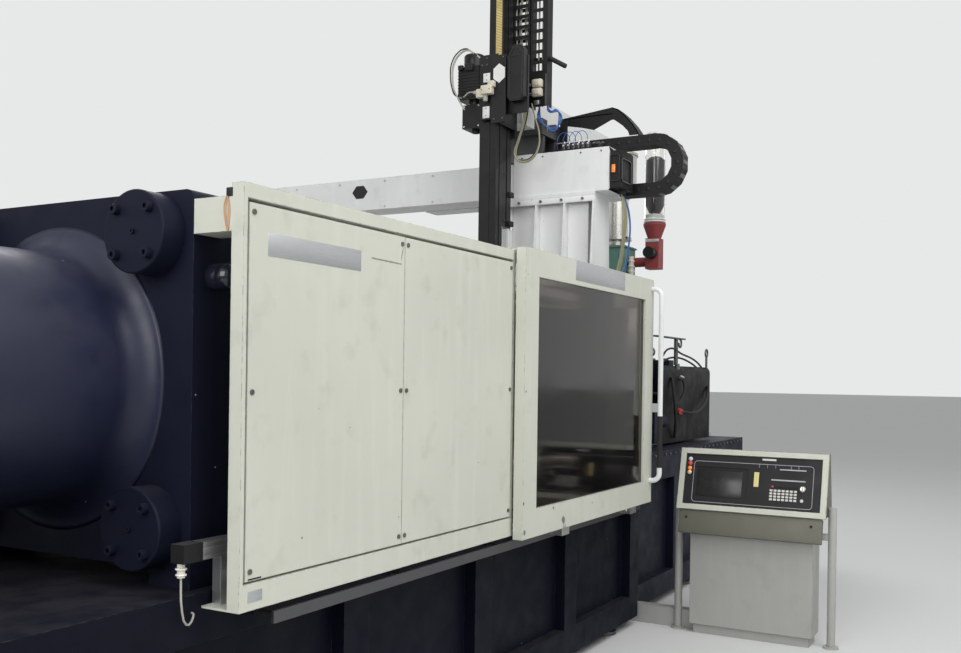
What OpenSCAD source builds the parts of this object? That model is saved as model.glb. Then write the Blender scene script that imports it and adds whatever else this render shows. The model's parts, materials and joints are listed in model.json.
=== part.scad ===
// Horizontal injection moulding machine with a hydraulic clamp and a take-out robot.
// Drawn with x = 0 at the rear face of the cylinder platen, +X towards the injection unit,
// y = 0 on the centre plane with the operator at -Y, and z = 0 on the floor.
// place() then moves everything so that the origin is under the middle of the outer box.

/* [Levels] */
// Height of the clamp bed's top face
bed_z = 933; // [900:1:950]
// Gap between the bed and the platens
bed_gap = 53; // [50:1:60]
// Height of the injection bed's top face
inj_bed_z = 1100; // [1060:5:1120]
// Height of both beds above the floor
bed_clear = 60; // [50:5:80]

/* [Beds] */
// Length of the clamp bed behind the cylinder platen
bed_back = 1250; // [1240:10:1300]
// How far the bed stands out beyond the platens
bed_out = 53; // [48:1:60]
// How far the injection bed stands out beyond the tie bars
inj_bed_out = 145; // [130:5:160]
// Distance of the pump bay from the bed's rear end
bay_in = 1300; // [1250:10:1350]
// Radius of the pump motor
pump_r = 165; // [150:5:170]
// Free end of the injection bed
inj_bed_end = 6900; // [6800:10:7000]
// Width of the chute through the clamp bed
chute_w = 640; // [560:10:700]
// Depth of the pockets in the sides of the beds
pocket_d = 60; // [40:5:80]
// Width of the wear strips
strip_w = 120; // [100:5:140]
// Thickness of the wear strips
strip_t = 25; // [20:1:30]
// Sideways place of the wear strips
strip_y = 520; // [500:5:540]
// Width of the injection rails
inj_rail_w = 80; // [70:5:100]
// Height of the injection rails
inj_rail_h = 40; // [30:1:45]
// Sideways place of the injection rails
inj_rail_y = 300; // [280:5:320]
// Radius of a levelling foot's pad
foot_r = 80; // [70:1:90]

/* [Platens] */
// Distance between tie bar centres
bar_pitch = 950; // [930:5:960]
// Radius of a tie bar
bar_r = 75; // [70:1:78]
// Width of the platens
platen_w = 1294; // [1280:2:1310]
// Height of the platens
platen_h = 1228; // [1216:2:1240]
// Thickness of the cylinder platen
cyl_platen_t = 300; // [280:5:330]
// Thickness of the moving platen's plate
move_platen_t = 300; // [280:5:320]
// Thickness of the fixed platen
fix_platen_t = 350; // [340:5:370]
// Clamping face of the fixed platen
fix_face_x = 3500; // [3490:1:3510]
// Widest opening between the clamping faces
daylight_open = 1400; // [1380:5:1420]
// Travel of the moving platen
clamp_stroke = 900; // [860:5:920]
// Corner radius of the platens
platen_r = 36; // [20:1:50]
// Smaller spacing of the mould bolt holes
hole_near = 280; // [260:5:300]
// Larger spacing of the mould bolt holes
hole_far = 560; // [540:5:580]
// Radius of a mould bolt hole
mould_hole_r = 12; // [10:0.5:13]
// Depth of a mould bolt hole
mould_hole_d = 60; // [50:1:70]
// Radius of the locating bores
locate_r = 100; // [90:1:110]
// Depth of the locating bore
locate_d = 30; // [20:1:40]

/* [Clamp unit] */
// Radius of the clamp cylinder's drum
drum_r = 432; // [420:1:440]
// Length of the drum
drum_len = 1150; // [1140:5:1170]
// Radius of the fillet between drum and platen
drum_fillet = 95; // [80:1:110]
// Radius of the cylinder bore
chamber_r = 370; // [360:1:380]
// Thickness of the cylinder cover
cover_t = 80; // [70:1:90]
// Radius of the ram
ram_r = 230; // [220:1:240]
// Length of the piston head
head_len = 200; // [180:1:210]
// Radius of a tie bar nut
nut_r = 135; // [128:1:140]
// Height of a tie bar nut over the platen
nut_out = 93; // [88:1:100]
// Distance of a nut's screws from its centre
nut_screw_at = 103; // [98:1:108]

/* [Ejector] */
// Radius of the ejector cylinder
ej_cyl_r = 110; // [100:1:120]
// Length of the ejector cylinder
ej_cyl_len = 210; // [190:5:215]
// Radius of the ejector rod
ej_rod_r = 30; // [25:1:35]
// Distance of the ejector pins from the axis
ej_pin_at = 140; // [125:1:150]
// Radius of an outer ejector pin
ej_pin_r = 16; // [14:1:20]
// Travel of the ejector
ej_stroke = 200; // [180:5:205]

/* [Injection unit] */
// Radius of the barrel
barrel_r = 100; // [95:1:105]
// Radius of the screw
screw_r = 40; // [38:0.5:42]
// Radius of the screw's root
screw_root = 28; // [26:0.5:30]
// Pitch of the screw flight
screw_pitch = 80; // [75:1:90]
// Length of the nozzle
nozzle_len = 300; // [280:5:310]
// Radius of the nozzle's body
nozzle_r = 38; // [34:1:42]
// Place of the feed throat along the machine
feed_x = 5240; // [5230:1:5250]
// Length of the barrel housing
housing_len = 360; // [350:5:380]
// Half width of the barrel housing
housing_half = 190; // [180:5:195]
// Height of the housing over the axis
housing_up = 250; // [240:5:260]
// Sideways place of the injection cylinders
inj_cyl_y = 300; // [295:1:310]
// Radius of an injection cylinder
inj_cyl_r = 100; // [90:1:104]
// Length of an injection cylinder
inj_cyl_len = 620; // [610:5:650]
// Radius of an injection rod
inj_rod_r = 40; // [35:1:45]
// Travel of the screw
screw_stroke = 350; // [320:5:360]
// Travel of the injection carriage
carriage_stroke = 450; // [420:5:460]
// Thickness of the crosshead plate
crosshead_t = 120; // [110:1:130]
// Radius of the screw motor
motor_r = 165; // [150:1:175]
// Length of the screw motor
motor_len = 340; // [320:5:360]
// Radius of a carriage rod
car_rod_r = 25; // [22:1:30]
// Radius of a carriage cylinder
car_cyl_r = 55; // [50:1:60]
// Sideways place of the carriage cylinders
car_cyl_y = 430; // [425:1:440]
// Height of the carriage cylinders below the axis
car_cyl_down = 300; // [290:5:310]
// Width of a heater band
band_w = 90; // [80:1:95]
// Step from band to band
band_step = 120; // [115:1:125]
// Number of heater bands
band_n = 8; // [6:1:8]
// Thickness of a heater band
band_t = 12; // [10:1:14]
// Inner radius of the barrel cover
cover_r = 190; // [180:1:200]

/* [Material feed] */
// Half width of the mixing chamber
mixer_half = 125; // [115:1:130]
// Height of the mixing chamber's top
mixer_top = 2670; // [2660:1:2690]
// Height of the mixing chamber
mixer_h = 330; // [300:5:350]
// Radius of the feed neck
neck_r = 80; // [75:1:85]
// Radius of the flanges on the feed tube
feed_flange_r = 132; // [125:1:138]
// Radius of the feed tube over the neck
feed_tube_r = 104; // [98:1:110]
// Height of the feed tube
feed_tube_h = 300; // [280:5:320]
// Radius of the material hopper
hopper_r = 165; // [155:1:175]
// Height of the material hopper's straight wall
hopper_wall_h = 260; // [240:5:280]
// Distance of the dosing unit from the centre plane
dosing_y = -330; // [-340:1:-320]
// Radius of the sight tube
sight_r = 80; // [75:1:85]
// Height of the sight tube
sight_h = 680; // [640:5:700]
// Travel of the hopper gate
gate_stroke = 110; // [100:1:120]

/* [Guards] */
// How far the guards stand out beyond the platens
guard_out = 209; // [205:1:215]
// Depth of the guard's flanges
guard_d = 50; // [45:1:55]
// Length of the fixed guard
guard_len = 1832; // [1820:1:1840]
// Height of the guard's lower edge
guard_z0 = 885; // [880:1:890]
// Height of the guard's upper edge
guard_z1 = 2219; // [2215:1:2222]
// Height of the guard's top beam
beam_h = 47; // [44:1:50]
// Height of the guard's apron
apron_h = 85; // [80:1:90]
// Width of the shadow gap round the panels
gap_w = 8; // [6:0.5:10]
// Place of the seam between the panels
seam_x = 898; // [880:1:910]
// Width of the guard's upright edges
stile_w = 18; // [16:1:22]
// Depth of a panel's folded edge
fold_d = 24; // [20:1:28]
// Sheet thickness of the panels
sheet_t = 2.5; // [2:0.5:3]
// Height of the side bracket's lower edge
bracket_z0 = 2069; // [2060:1:2080]
// Height of the side bracket
bracket_h = 111; // [105:1:118]
// Length of the side bracket
bracket_len = 120; // [110:1:130]

/* [Doors] */
// How far the doors stand out beyond the guards
door_out = 64; // [60:1:70]
// Depth of a door
door_d = 50; // [46:1:52]
// Length of a door
door_len = 1758; // [1750:1:1765]
// Lap of a shut door over the guard
door_lap = 20; // [18:1:24]
// Lower edge of the doors
door_z0 = 870; // [868:1:872]
// Upper edge of the doors
door_z1 = 2232; // [2230:1:2240]
// Width of the door's upright members
door_stile = 144; // [135:1:150]
// Height of the door's upper member
door_top = 129; // [122:1:135]
// Height of the door's lower member
door_foot = 133; // [126:1:140]
// Travel of the doors
door_stroke = 1600; // [1560:5:1640]
// Thickness of the window pane
pane_t = 8; // [6:0.5:10]
// Overlap of the pane behind the frame
pane_lap = 20; // [15:1:25]
// Radius of the handle tube
handle_r = 15; // [13:0.5:17]
// Distance of the handle from the door
handle_out = 62; // [56:1:70]
// Length of the handle
handle_len = 1170; // [1120:5:1200]

/* [Console] */
// Width of the operating console
con_w = 920; // [880:5:940]
// Height of the console's sloped face
con_h = 395; // [385:5:405]
// Depth of the console at its foot
con_d = 250; // [230:5:260]
// Lower front edge of the console along the machine
con_x = 3930; // [3920:1:3940]
// Centre of the console sideways
con_y = -1432; // [-1440:1:-1420]
// Height of the console's lower front edge
con_z = 795; // [785:1:800]
// Lean of the console's face, in degrees
con_lean = 15; // [12:0.5:18]
// Radius of the posts beside the console
post_r = 25; // [20:1:30]
// Radius of the posts' feet
post_foot_r = 45; // [35:1:60]
// Distance of the posts from the console's side
post_off = 20; // [10:1:30]
// Width of the bezel's border
bezel_w = 34; // [30:1:38]

/* [Robot] */
// Height of the robot's pedestal
ped_h = 600; // [590:2:620]
// Front side of the pedestal
ped_y0 = -520; // [-540:5:-500]
// Far side of the pedestal
ped_y1 = 300; // [280:5:320]
// Rear face of the cross beam
rbeam_x = 3580; // [3575:1:3585]
// Width of the cross beam
rbeam_w = 230; // [220:2:240]
// Height of the cross beam
rbeam_h = 220; // [210:2:230]
// Front end of the cross beam
rbeam_y0 = -600; // [-605:1:-590]
// Far end of the cross beam
rbeam_y1 = 2150; // [2140:5:2200]
// Half width of the kick beam
kick_half = 90; // [80:1:95]
// Height of the kick beam
kick_h = 220; // [210:2:230]
// Length of the kick beam
kick_len = 1500; // [1480:5:1520]
// Height of the kick beam over the cross beam
kick_up = 215; // [210:1:225]
// Place of the arm's long profile
arm_x = 3291; // [3285:1:3297]
// Place of the long profile across the machine
arm_y = 20; // [18:1:22]
// Depth of the long profile
arm_a = 128; // [124:1:130]
// Width of the long profile
arm_b = 100; // [96:1:100]
// Depth of the short profile
stage_a = 86; // [80:1:90]
// Width of the short profile
stage_b = 120; // [116:1:122]
// Place of the short profile across the machine
stage_y = 24; // [23:1:26]
// Foot of the long profile
arm_foot_z = 2574; // [2550:5:2600]
// Foot of the short profile
arm_z0 = 2440; // [2430:5:2460]
// Top of the arm at rest
arm_z1 = 4560; // [4500:5:4560]
// Travel of the vertical arm
arm_stroke = 950; // [900:5:960]
// Travel of the robot across the machine
traverse_stroke = 1600; // [1550:5:1620]
// Travel of the kick beam
kick_stroke = 450; // [400:5:460]
// Outer radius of the energy chain's bend
chain_r = 195; // [185:1:205]
// Height of an energy chain link
link_h = 76; // [70:1:82]
// Length of an energy chain link
link_len = 70; // [65:1:75]
// Width of an energy chain
link_w = 110; // [100:1:120]

/* [Position sensor] */
// Length of the sensor's profile
sensor_len = 560; // [540:5:600]
// Side of the sensor's profile
sensor_a = 54; // [48:1:60]
// Distance of the sensor below the lower tie bars
sensor_down = 49; // [40:1:60]
// Distance of the sensor from the platens
sensor_off = 78; // [72:1:90]
// Radius of the sensor's cable
cable_r = 3.5; // [3:0.5:4]

/* [Fits] */
// Gap between sliding faces
slide_gap = 0.3; // [0.2:0.05:0.5]
// Radial gap of a rod in its gland
rod_gap = 0.3; // [0.2:0.05:0.5]
// Gap between a part and its seat
seat_gap = 0.3; // [0.2:0.05:0.4]

/* [Hidden] */
$fn = 48;
NAVY = "midnightblue";
CREAM = "ivory";
STEEL = "silver";
IRON = "dimgray";
BLACK = "#1c1c1f";
axis_z = bed_z + bed_gap + platen_h / 2;
platen_z0 = axis_z - platen_h / 2;
platen_z1 = axis_z + platen_h / 2;
platen_half = platen_w / 2;
bed_half = platen_half + bed_out;
guard_y = platen_half + guard_out;
door_y = guard_y + door_out;
door_x0 = guard_len - door_lap;
door_x1 = door_x0 + door_len;
open_face_x = fix_face_x - daylight_open;
move_back_x = open_face_x - move_platen_t;
fix_back_x = fix_face_x + fix_platen_t;
// length of the box between the ram and the moving platen
yoke_len = 480;
yoke_r = 300;
yoke_wall = 55;
ram_end_x = move_back_x - yoke_len;
ram_flange_t = 60;
drum_x0 = -drum_len;
cover_x0 = drum_x0 - cover_t;
cover_rim = 40;
valve_r = 150;
valve_len = 90;
piston_x0 = drum_x0 + cover_rim + slide_gap;
// the chamber ends inside the platen
chamber_end = piston_x0 + head_len + clamp_stroke + 60;
bar_x0 = -nut_out + 25;
bar_x1 = fix_back_x + nut_out - 25;
strip_x0 = cyl_platen_t + 60;
strip_x1 = fix_face_x - 60;
foot_block_w = 180;
ej_plate_t = 40;
ej_cyl_x1 = ram_end_x + ej_cyl_len;
// injection side
nozzle_tip_x = fix_face_x + 45;
barrel_x0 = nozzle_tip_x + nozzle_len;
housing_x0 = feed_x - housing_len / 2;
housing_x1 = feed_x + housing_len / 2;
housing_z1 = axis_z + housing_up;
saddle_z0 = inj_bed_z + inj_rail_h + slide_gap;
saddle_t = 60;
saddle_z1 = saddle_z0 + saddle_t;
saddle_x0 = housing_x0 - crosshead_t * 3.5;
saddle_x1 = housing_x1 + inj_cyl_len + crosshead_t * 2.5;
saddle_half = inj_rail_y + inj_rail_w / 2 + 60;
inj_cyl_x1 = housing_x1 + inj_cyl_len;
crosshead_x0 = inj_cyl_x1 + 20;
crosshead_x1 = crosshead_x0 + crosshead_t;
flange_rim = 17;
car_cyl_z = axis_z - car_cyl_down;
car_cyl_x0 = 4560;
car_cyl_len = carriage_stroke + 170;
car_rod_x1 = car_cyl_x0 + carriage_stroke + 80;
inj_bed_half = bar_pitch / 2 + inj_bed_out;
inj_bed_x0 = fix_back_x + nut_out + 40;
recess_r = barrel_r + 55;
recess_x0 = fix_face_x + 110;
nozzle_bore_r = nozzle_r + 12;
// feed
mixer_z0 = mixer_top - mixer_h;
gate_t = 16;
gate_half = 70;
gate_z0 = housing_z1 + 120;
throat_r = 34;
// doors and guards
door_z_mid = (door_z0 + door_z1) / 2;
win_x0 = door_x0 + door_stile;
win_x1 = door_x1 - door_stile;
win_z0 = door_z0 + door_foot;
win_z1 = door_z1 - door_top;
header_y0 = guard_y - 56;
header_y1 = door_y - door_d - 17;
post_x0 = door_x1 + 22;
post_w = 50;
shelf_t = 8;
door_rail_z1 = door_z0 - 14;
door_rail_h = 40;
door_rail_t = 12;
door_rail_y = guard_y - 14;
door_rail_x0 = 180;
door_rail_x1 = post_x0;
shoe_len = 90;
shoe_at = [460, 1430];
panel_z0 = guard_z0 + apron_h + gap_w;
panel_z1 = guard_z1 - beam_h - gap_w - 4;
panel_x0 = stile_w + gap_w;
panel_x1 = guard_len - stile_w - gap_w;
screw_in = 20;
panel_screw_z = [panel_z0 + 30, (panel_z0 + panel_z1) / 2, panel_z1 - 28];
panel_screw_x = [panel_x0 + screw_in, seam_x - screw_in, seam_x + screw_in, panel_x1 - screw_in];
// robot
ped_t = 14;
rbeam_z0 = platen_z1 + ped_h;
rbeam_z1 = rbeam_z0 + rbeam_h;
rbeam_x1 = rbeam_x + rbeam_w;
kick_z0 = rbeam_z1 + kick_up;
kick_z1 = kick_z0 + kick_h;
arm_x0 = arm_x - arm_a / 2;
arm_x1 = arm_x + arm_a / 2;
head_t = 25;
head_x0 = arm_x1 + slide_gap;
head_z0 = kick_z0 - 100;
head_z1 = kick_z1 + 90;
stage_x0 = arm_x0 - stage_a - 1;
stage_x1 = arm_x0;
stage_x = stage_x0 + stage_a / 2;
stage_z1 = head_z1 + 51;
cover_z1 = head_z1 + 96;
motor_z0 = head_z1 - 179;
column_w = 120;
column_y = -column_w - 13;
ladder_w = 116;
ladder_y0 = column_y - 13 - ladder_w;
ladder_z0 = kick_z0 + 91;
chain_x0 = rbeam_x1 + 40;
chain_zc = rbeam_z1 - 20;
chain_yc = rbeam_y0 - 205;
// origin under the middle of the box
box_x0 = cover_x0 - valve_len;
box_x1 = inj_bed_end;
box_y0 = con_y - con_w / 2 - post_off - post_foot_r;
box_y1 = rbeam_y1 + 12;

module place() translate([-(box_x0 + box_x1) / 2, -(box_y0 + box_y1) / 2, 0]) children();

// block between two values on each axis
module slab(x, y, z) translate([x[0], y[0], z[0]]) cube([x[1] - x[0], y[1] - y[0], z[1] - z[0]]);
module rod_x(x, y, z, r) translate([x[0], y, z]) rotate([0, 90, 0]) cylinder(h = x[1] - x[0], r = r);
module rod_y(x, y, z, r) translate([x, y[1], z]) rotate([90, 0, 0]) cylinder(h = y[1] - y[0], r = r);
module rod_z(x, y, z, r) translate([x, y, z[0]]) cylinder(h = z[1] - z[0], r = r);
module both_sides() {
    children();
    mirror([0, 1, 0]) children();
}
module at_bars()
    for (sy = [-1, 1], sz = [-1, 1])
        translate([0, sy * bar_pitch / 2, axis_z + sz * bar_pitch / 2]) children();
module round_rect(w, h, r) {
    square([w - 2 * r, h], center = true);
    square([w, h - 2 * r], center = true);
    for (sx = [-1, 1], sy = [-1, 1])
        translate([sx * (w / 2 - r), sy * (h / 2 - r)]) circle(r);
}
// upright plate with rounded corners, its faces across the machine axis
module plate_x(x, w, h, r)
    translate([x[0], 0, axis_z]) rotate([90, 0, 90]) linear_extrude(x[1] - x[0]) round_rect(w, h, r);
// turned part about the machine axis: the outline is drawn as [radius, x]
module turned_x() translate([0, 0, axis_z]) rotate([0, 90, 0]) rotate_extrude() children();
// socket head cap screw, head outwards along -X, seated on x = 0
module cap_screw(r, h) {
    difference() {
        rotate([0, -90, 0]) cylinder(h = h, r = r);
        translate([-h, 0, 0]) rotate([0, 90, 0]) cylinder(h = h / 2, r = r * 0.52, $fn = 6);
    }
}
// mould bolt holes: three rectangles about the axis
module mould_holes(x)
    for (s = [[hole_far, hole_far], [hole_far, hole_near], [hole_near, hole_far]])
        for (sy = [-0.5, 0.5], sz = [-0.5, 0.5])
            rod_x(x, sy * s[0], axis_z + sz * s[1], mould_hole_r);

module clamp_bed() {
    x0 = -bed_back;
    x1 = inj_bed_x0 - 20;
    chute = [fix_face_x - chute_w - 260, fix_face_x - 260];
    color(NAVY) difference() {
        slab([x0, x1], [-bed_half, bed_half], [bed_clear, bed_z]);
        slab(chute, [-chute_w / 2, chute_w / 2], [0, bed_z + 1]);
        both_sides() for (i = [0 : 4])
            slab([x0 + 120 + i * 1020, x0 + 120 + i * 1020 + 860], [-bed_half - 1, -bed_half + pocket_d],
                [bed_clear + 150, bed_z - 160]);
    }
}

module injection_bed() {
    bay = [inj_bed_x0 + bay_in, inj_bed_end - 400];
    color(NAVY) difference() {
        slab([inj_bed_x0, inj_bed_end], [-inj_bed_half, inj_bed_half], [bed_clear, inj_bed_z]);
        slab(bay, [-60, inj_bed_half + 1], [bed_clear + 60, inj_bed_z - 180]);
        for (i = [0 : 2])
            slab([inj_bed_x0 + 150 + i * 960, inj_bed_x0 + 150 + i * 960 + 800],
                [-inj_bed_half - 1, -inj_bed_half + pocket_d], [bed_clear + 150, inj_bed_z - 200]);
    }
}

module levelling_feet() {
    foot_in = foot_r * 1.75;
    clamp_at = [-bed_back + foot_in, cyl_platen_t * 2 / 3, strip_x0 + strip_t * 51.6, fix_face_x + foot_in];
    inj_at = [inj_bed_x0 + foot_in + 40, (inj_bed_x0 + inj_bed_end) / 2, inj_bed_end - foot_in - 40];
    color(IRON) both_sides() {
        for (x = clamp_at) levelling_foot(x, -bed_half + 110);
        for (x = inj_at) levelling_foot(x, -inj_bed_half + 110);
    }
}
module levelling_foot(x, y) {
    pad_t = bed_clear / 2 - 6;
    translate([x, y, 0]) {
        cylinder(h = pad_t, r = foot_r);
        translate([0, 0, pad_t]) cylinder(h = 14, r = foot_r * 0.45);
        translate([0, 0, pad_t + 14]) cylinder(h = bed_clear - pad_t - 14, r = foot_r * 0.3);
    }
}

module slide_rails() {
    rail_z = [inj_bed_z, inj_bed_z + inj_rail_h];
    color(STEEL) both_sides() {
        slab([strip_x0, strip_x1], [-strip_y - strip_w / 2, -strip_y + strip_w / 2],
            [bed_z, bed_z + strip_t]);
        slab([inj_bed_x0 + 60, inj_bed_end - 60], [-inj_rail_y - inj_rail_w / 2,
            -inj_rail_y + inj_rail_w / 2],
            rail_z);
    }
}

module platen_feet(x, w)
    both_sides() slab(x, [-platen_half, -platen_half + w], [bed_z, platen_z0 + platen_r]);

module cylinder_platen() {
    gland_t = 30;
    color(NAVY) difference() {
        union() {
            plate_x([0, cyl_platen_t], platen_w, platen_h, platen_r);
            platen_feet([0, cyl_platen_t], foot_block_w);
            rod_x([cyl_platen_t, cyl_platen_t + gland_t], 0, axis_z, ram_r + 70);
        }
        at_bars() rod_x([-1, cyl_platen_t + 1], 0, 0, bar_r + seat_gap);
        rod_x([-1, chamber_end], 0, axis_z, chamber_r);
        rod_x([-1, cyl_platen_t + gland_t + 1], 0, axis_z, ram_r + rod_gap);
    }
}

module clamp_cylinder() {
    rib_t = 40;
    color(NAVY) difference() {
        union() {
            turned_x() {
                translate([0, drum_x0]) square([drum_r, drum_len]);
                translate([0, drum_x0]) square([drum_r + cover_rim, rib_t + 30]);
                difference() {
                    translate([drum_r - 1, -drum_fillet]) square([drum_fillet + 1, drum_fillet]);
                    translate([drum_r + drum_fillet, -drum_fillet]) circle(drum_fillet);
                }
            }
            both_sides() slab([drum_x0 + 80, drum_x0 + 200], [-drum_r * 0.75, -drum_r * 0.75 + 130],
                [bed_z, axis_z - drum_r * 0.5]);
        }
        rod_x([drum_x0 - 1, 1], 0, axis_z, chamber_r);
    }
}

module cylinder_cover() {
    color(NAVY) turned_x() {
        translate([0, cover_x0]) square([drum_r + cover_rim, cover_t]);
        translate([0, drum_x0]) square([chamber_r - seat_gap, cover_rim]);
        translate([0, cover_x0 - valve_len]) square([valve_r, valve_len]);
    }
}

module tie_bars() {
    color(STEEL) at_bars() rod_x([bar_x0, bar_x1], 0, 0, bar_r);
}

module tie_bar_nuts() {
    color(NAVY) {
        at_bars() tie_bar_nut();
        translate([fix_back_x, 0, 0]) mirror([1, 0, 0]) at_bars() tie_bar_nut();
    }
}
// closed cap over the end of a tie bar, with a rounded outer edge
module tie_bar_nut() {
    edge = 6;
    difference() {
        rotate([0, -90, 0]) rotate_extrude() difference() {
            union() {
                square([nut_r, nut_out - edge]);
                square([nut_r - edge, nut_out]);
                translate([nut_r - edge, nut_out - edge]) circle(edge);
            }
            translate([-nut_r, -nut_r]) square([nut_r, 2 * nut_r]);
        }
        rod_x([-nut_out + 25 - seat_gap, 1], 0, 0, bar_r + seat_gap);
    }
}

module machine_screws() {
    head_r = 17;
    head_h = 22;
    cover_n = 16;
    color(BLACK) {
        at_bars() nut_screws(head_r, head_h);
        translate([fix_back_x, 0, 0]) mirror([1, 0, 0]) at_bars() nut_screws(head_r, head_h);
        for (i = [0 : cover_n - 1])
            translate([cover_x0, 0, axis_z]) rotate([i * 360 / cover_n, 0, 0])
                translate([0, 0, drum_r - 12]) cap_screw(head_r + 4, head_h);
    }
}
module nut_screws(r, h) {
    for (a = [45 : 90 : 315])
        translate([-nut_out, nut_screw_at * cos(a), nut_screw_at * sin(a)]) cap_screw(r, h);
    translate([-nut_out, 0, 0]) cap_screw(9, 8);
}

module fixed_platen() {
    color(NAVY) difference() {
        union() {
            plate_x([fix_face_x, fix_back_x], platen_w, platen_h, platen_r);
            platen_feet([fix_face_x, fix_back_x], foot_block_w);
        }
        at_bars() rod_x([fix_face_x - 1, fix_back_x + 1], 0, 0, bar_r + seat_gap);
        rod_x([fix_face_x - 1, fix_face_x + locate_d], 0, axis_z, locate_r);
        rod_x([fix_face_x - 1, fix_back_x + 1], 0, axis_z, nozzle_bore_r);
        rod_x([recess_x0, fix_back_x + 1], 0, axis_z, recess_r);
        mould_holes([fix_face_x - 1, fix_face_x + mould_hole_d]);
    }
}

module moving_platen() {
    rib_t = 50;
    rib_r = platen_half - 87;
    shoe_z = bed_z + strip_t + slide_gap;
    color(NAVY) difference() {
        union() {
            plate_x([move_back_x, open_face_x], platen_w, platen_h, platen_r);
            rod_x([ram_end_x, move_back_x], 0, axis_z, yoke_r);
            // ribs from the yoke towards the four tie bars
            for (a = [45 : 90 : 315]) translate([0, 0, axis_z]) rotate([a, 0, 0]) translate([0, 0,
                -rib_t / 2])
                linear_extrude(rib_t) polygon([[move_back_x + 1, yoke_r - 30], [move_back_x + 1, rib_r],
                    [move_back_x - 40, rib_r], [ram_end_x + 60, yoke_r - 30]]);
            both_sides() slab([move_back_x, open_face_x], [-strip_y - strip_w / 2, -strip_y + strip_w / 2],
                [shoe_z, platen_z0 + platen_r]);
        }
        at_bars() rod_x([move_back_x - 50, open_face_x + 1], 0, 0, bar_r + rod_gap);
        at_bars() rod_x([ram_end_x - 1, move_back_x], 0, 0, bar_r + 40);
        rod_x([ram_end_x - 1, move_back_x], 0, axis_z, yoke_r - yoke_wall);
        // windows in the yoke towards both sides
        slab([ram_end_x + 80, move_back_x - 80], [-yoke_r - 1, yoke_r + 1], [axis_z - 110, axis_z + 110]);
        rod_x([open_face_x - locate_d, open_face_x + 1], 0, axis_z, locate_r);
        rod_x([move_back_x - 1, open_face_x + 1], 0, axis_z, ej_rod_r + rod_gap);
        for (a = [0 : 90 : 270])
            rod_x([move_back_x - 1, open_face_x + 1], ej_pin_at * cos(a), axis_z + ej_pin_at * sin(a),
                ej_pin_r + rod_gap);
        mould_holes([open_face_x - mould_hole_d, open_face_x + 1]);
    }
}

module clamp_ram() {
    color(STEEL) {
        rod_x([piston_x0, piston_x0 + head_len], 0, axis_z, chamber_r - rod_gap);
        rod_x([piston_x0 + head_len, ram_end_x - ram_flange_t], 0, axis_z, ram_r);
        rod_x([ram_end_x - ram_flange_t, ram_end_x], 0, axis_z, yoke_r);
    }
}

module ejector_cylinder() {
    foot_t = 25;
    color(IRON) difference() {
        union() {
            rod_x([ram_end_x, ej_cyl_x1], 0, axis_z, ej_cyl_r);
            rod_x([ram_end_x, ram_end_x + foot_t], 0, axis_z, ej_cyl_r + 45);
        }
        rod_x([ram_end_x + foot_t, ej_cyl_x1 + 1], 0, axis_z, ej_rod_r + rod_gap);
    }
}
module ejector_rod() {
    color(STEEL) {
        rod_x([ram_end_x + 35, open_face_x - locate_d - 4], 0, axis_z, ej_rod_r);
        rod_x([ej_cyl_x1 + 2, ej_cyl_x1 + 2 + ej_plate_t], 0, axis_z, ej_pin_at + ej_pin_r + 12);
        for (a = [0 : 90 : 270])
            rod_x([ej_cyl_x1 + 2 + ej_plate_t, open_face_x - 4], ej_pin_at * cos(a),
                axis_z + ej_pin_at * sin(a), ej_pin_r);
    }
}

module carriage() {
    wing_t = 70;
    wing_half = inj_cyl_y + inj_cyl_r + 20;
    barrel_end = feed_x + 100;
    bracket_x = [car_cyl_x0 + 260, car_cyl_x0 + 340];
    color(NAVY) difference() {
        union() {
            slab([saddle_x0, saddle_x1], [-saddle_half, saddle_half], [saddle_z0, saddle_z1]);
            slab([housing_x0, housing_x1], [-housing_half, housing_half], [saddle_z1, housing_z1]);
            slab([housing_x1 - wing_t, housing_x1], [-wing_half, wing_half], [axis_z - 140, axis_z + 140]);
            both_sides() {
                slab(bracket_x, [-car_cyl_y - car_cyl_r - 15, -saddle_half + 60],
                    [saddle_z0, car_cyl_z + car_cyl_r + 20]);
                // side walls that carry the housing
                slab([housing_x0 - 200, housing_x1 + 200], [-housing_half, -housing_half + 40],
                    [saddle_z1, axis_z - 220]);
            }
            slab([saddle_x1 - 60, saddle_x1], [-saddle_half, saddle_half], [saddle_z1, saddle_z1 + 80]);
        }
        rod_x([housing_x0 - 1, barrel_end], 0, axis_z, barrel_r + seat_gap);
        rod_x([housing_x0, housing_x1 + 1], 0, axis_z, screw_r + rod_gap);
        rod_z(feed_x, 0, [axis_z, housing_z1 + 1], throat_r);
        both_sides() rod_x([bracket_x[0] - 1, bracket_x[1] + 1], -car_cyl_y, car_cyl_z,
            car_cyl_r + seat_gap);
    }
    // cylinders that press the nozzle on the mould
    color(IRON) both_sides() difference() {
        rod_x([car_cyl_x0, car_cyl_x0 + car_cyl_len], -car_cyl_y, car_cyl_z, car_cyl_r);
        rod_x([car_cyl_x0 - 1, car_cyl_x0 + car_cyl_len - 40], -car_cyl_y, car_cyl_z, car_rod_r + rod_gap);
    }
}

module barrel() {
    barrel_end = feed_x + 100 - seat_gap;
    color(IRON) difference() {
        rod_x([barrel_x0, barrel_end], 0, axis_z, barrel_r);
        rod_x([barrel_x0 - 1, barrel_end + 1], 0, axis_z, screw_r + rod_gap);
        rod_z(feed_x, 0, [axis_z, axis_z + barrel_r + 1], throat_r);
    }
}

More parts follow.
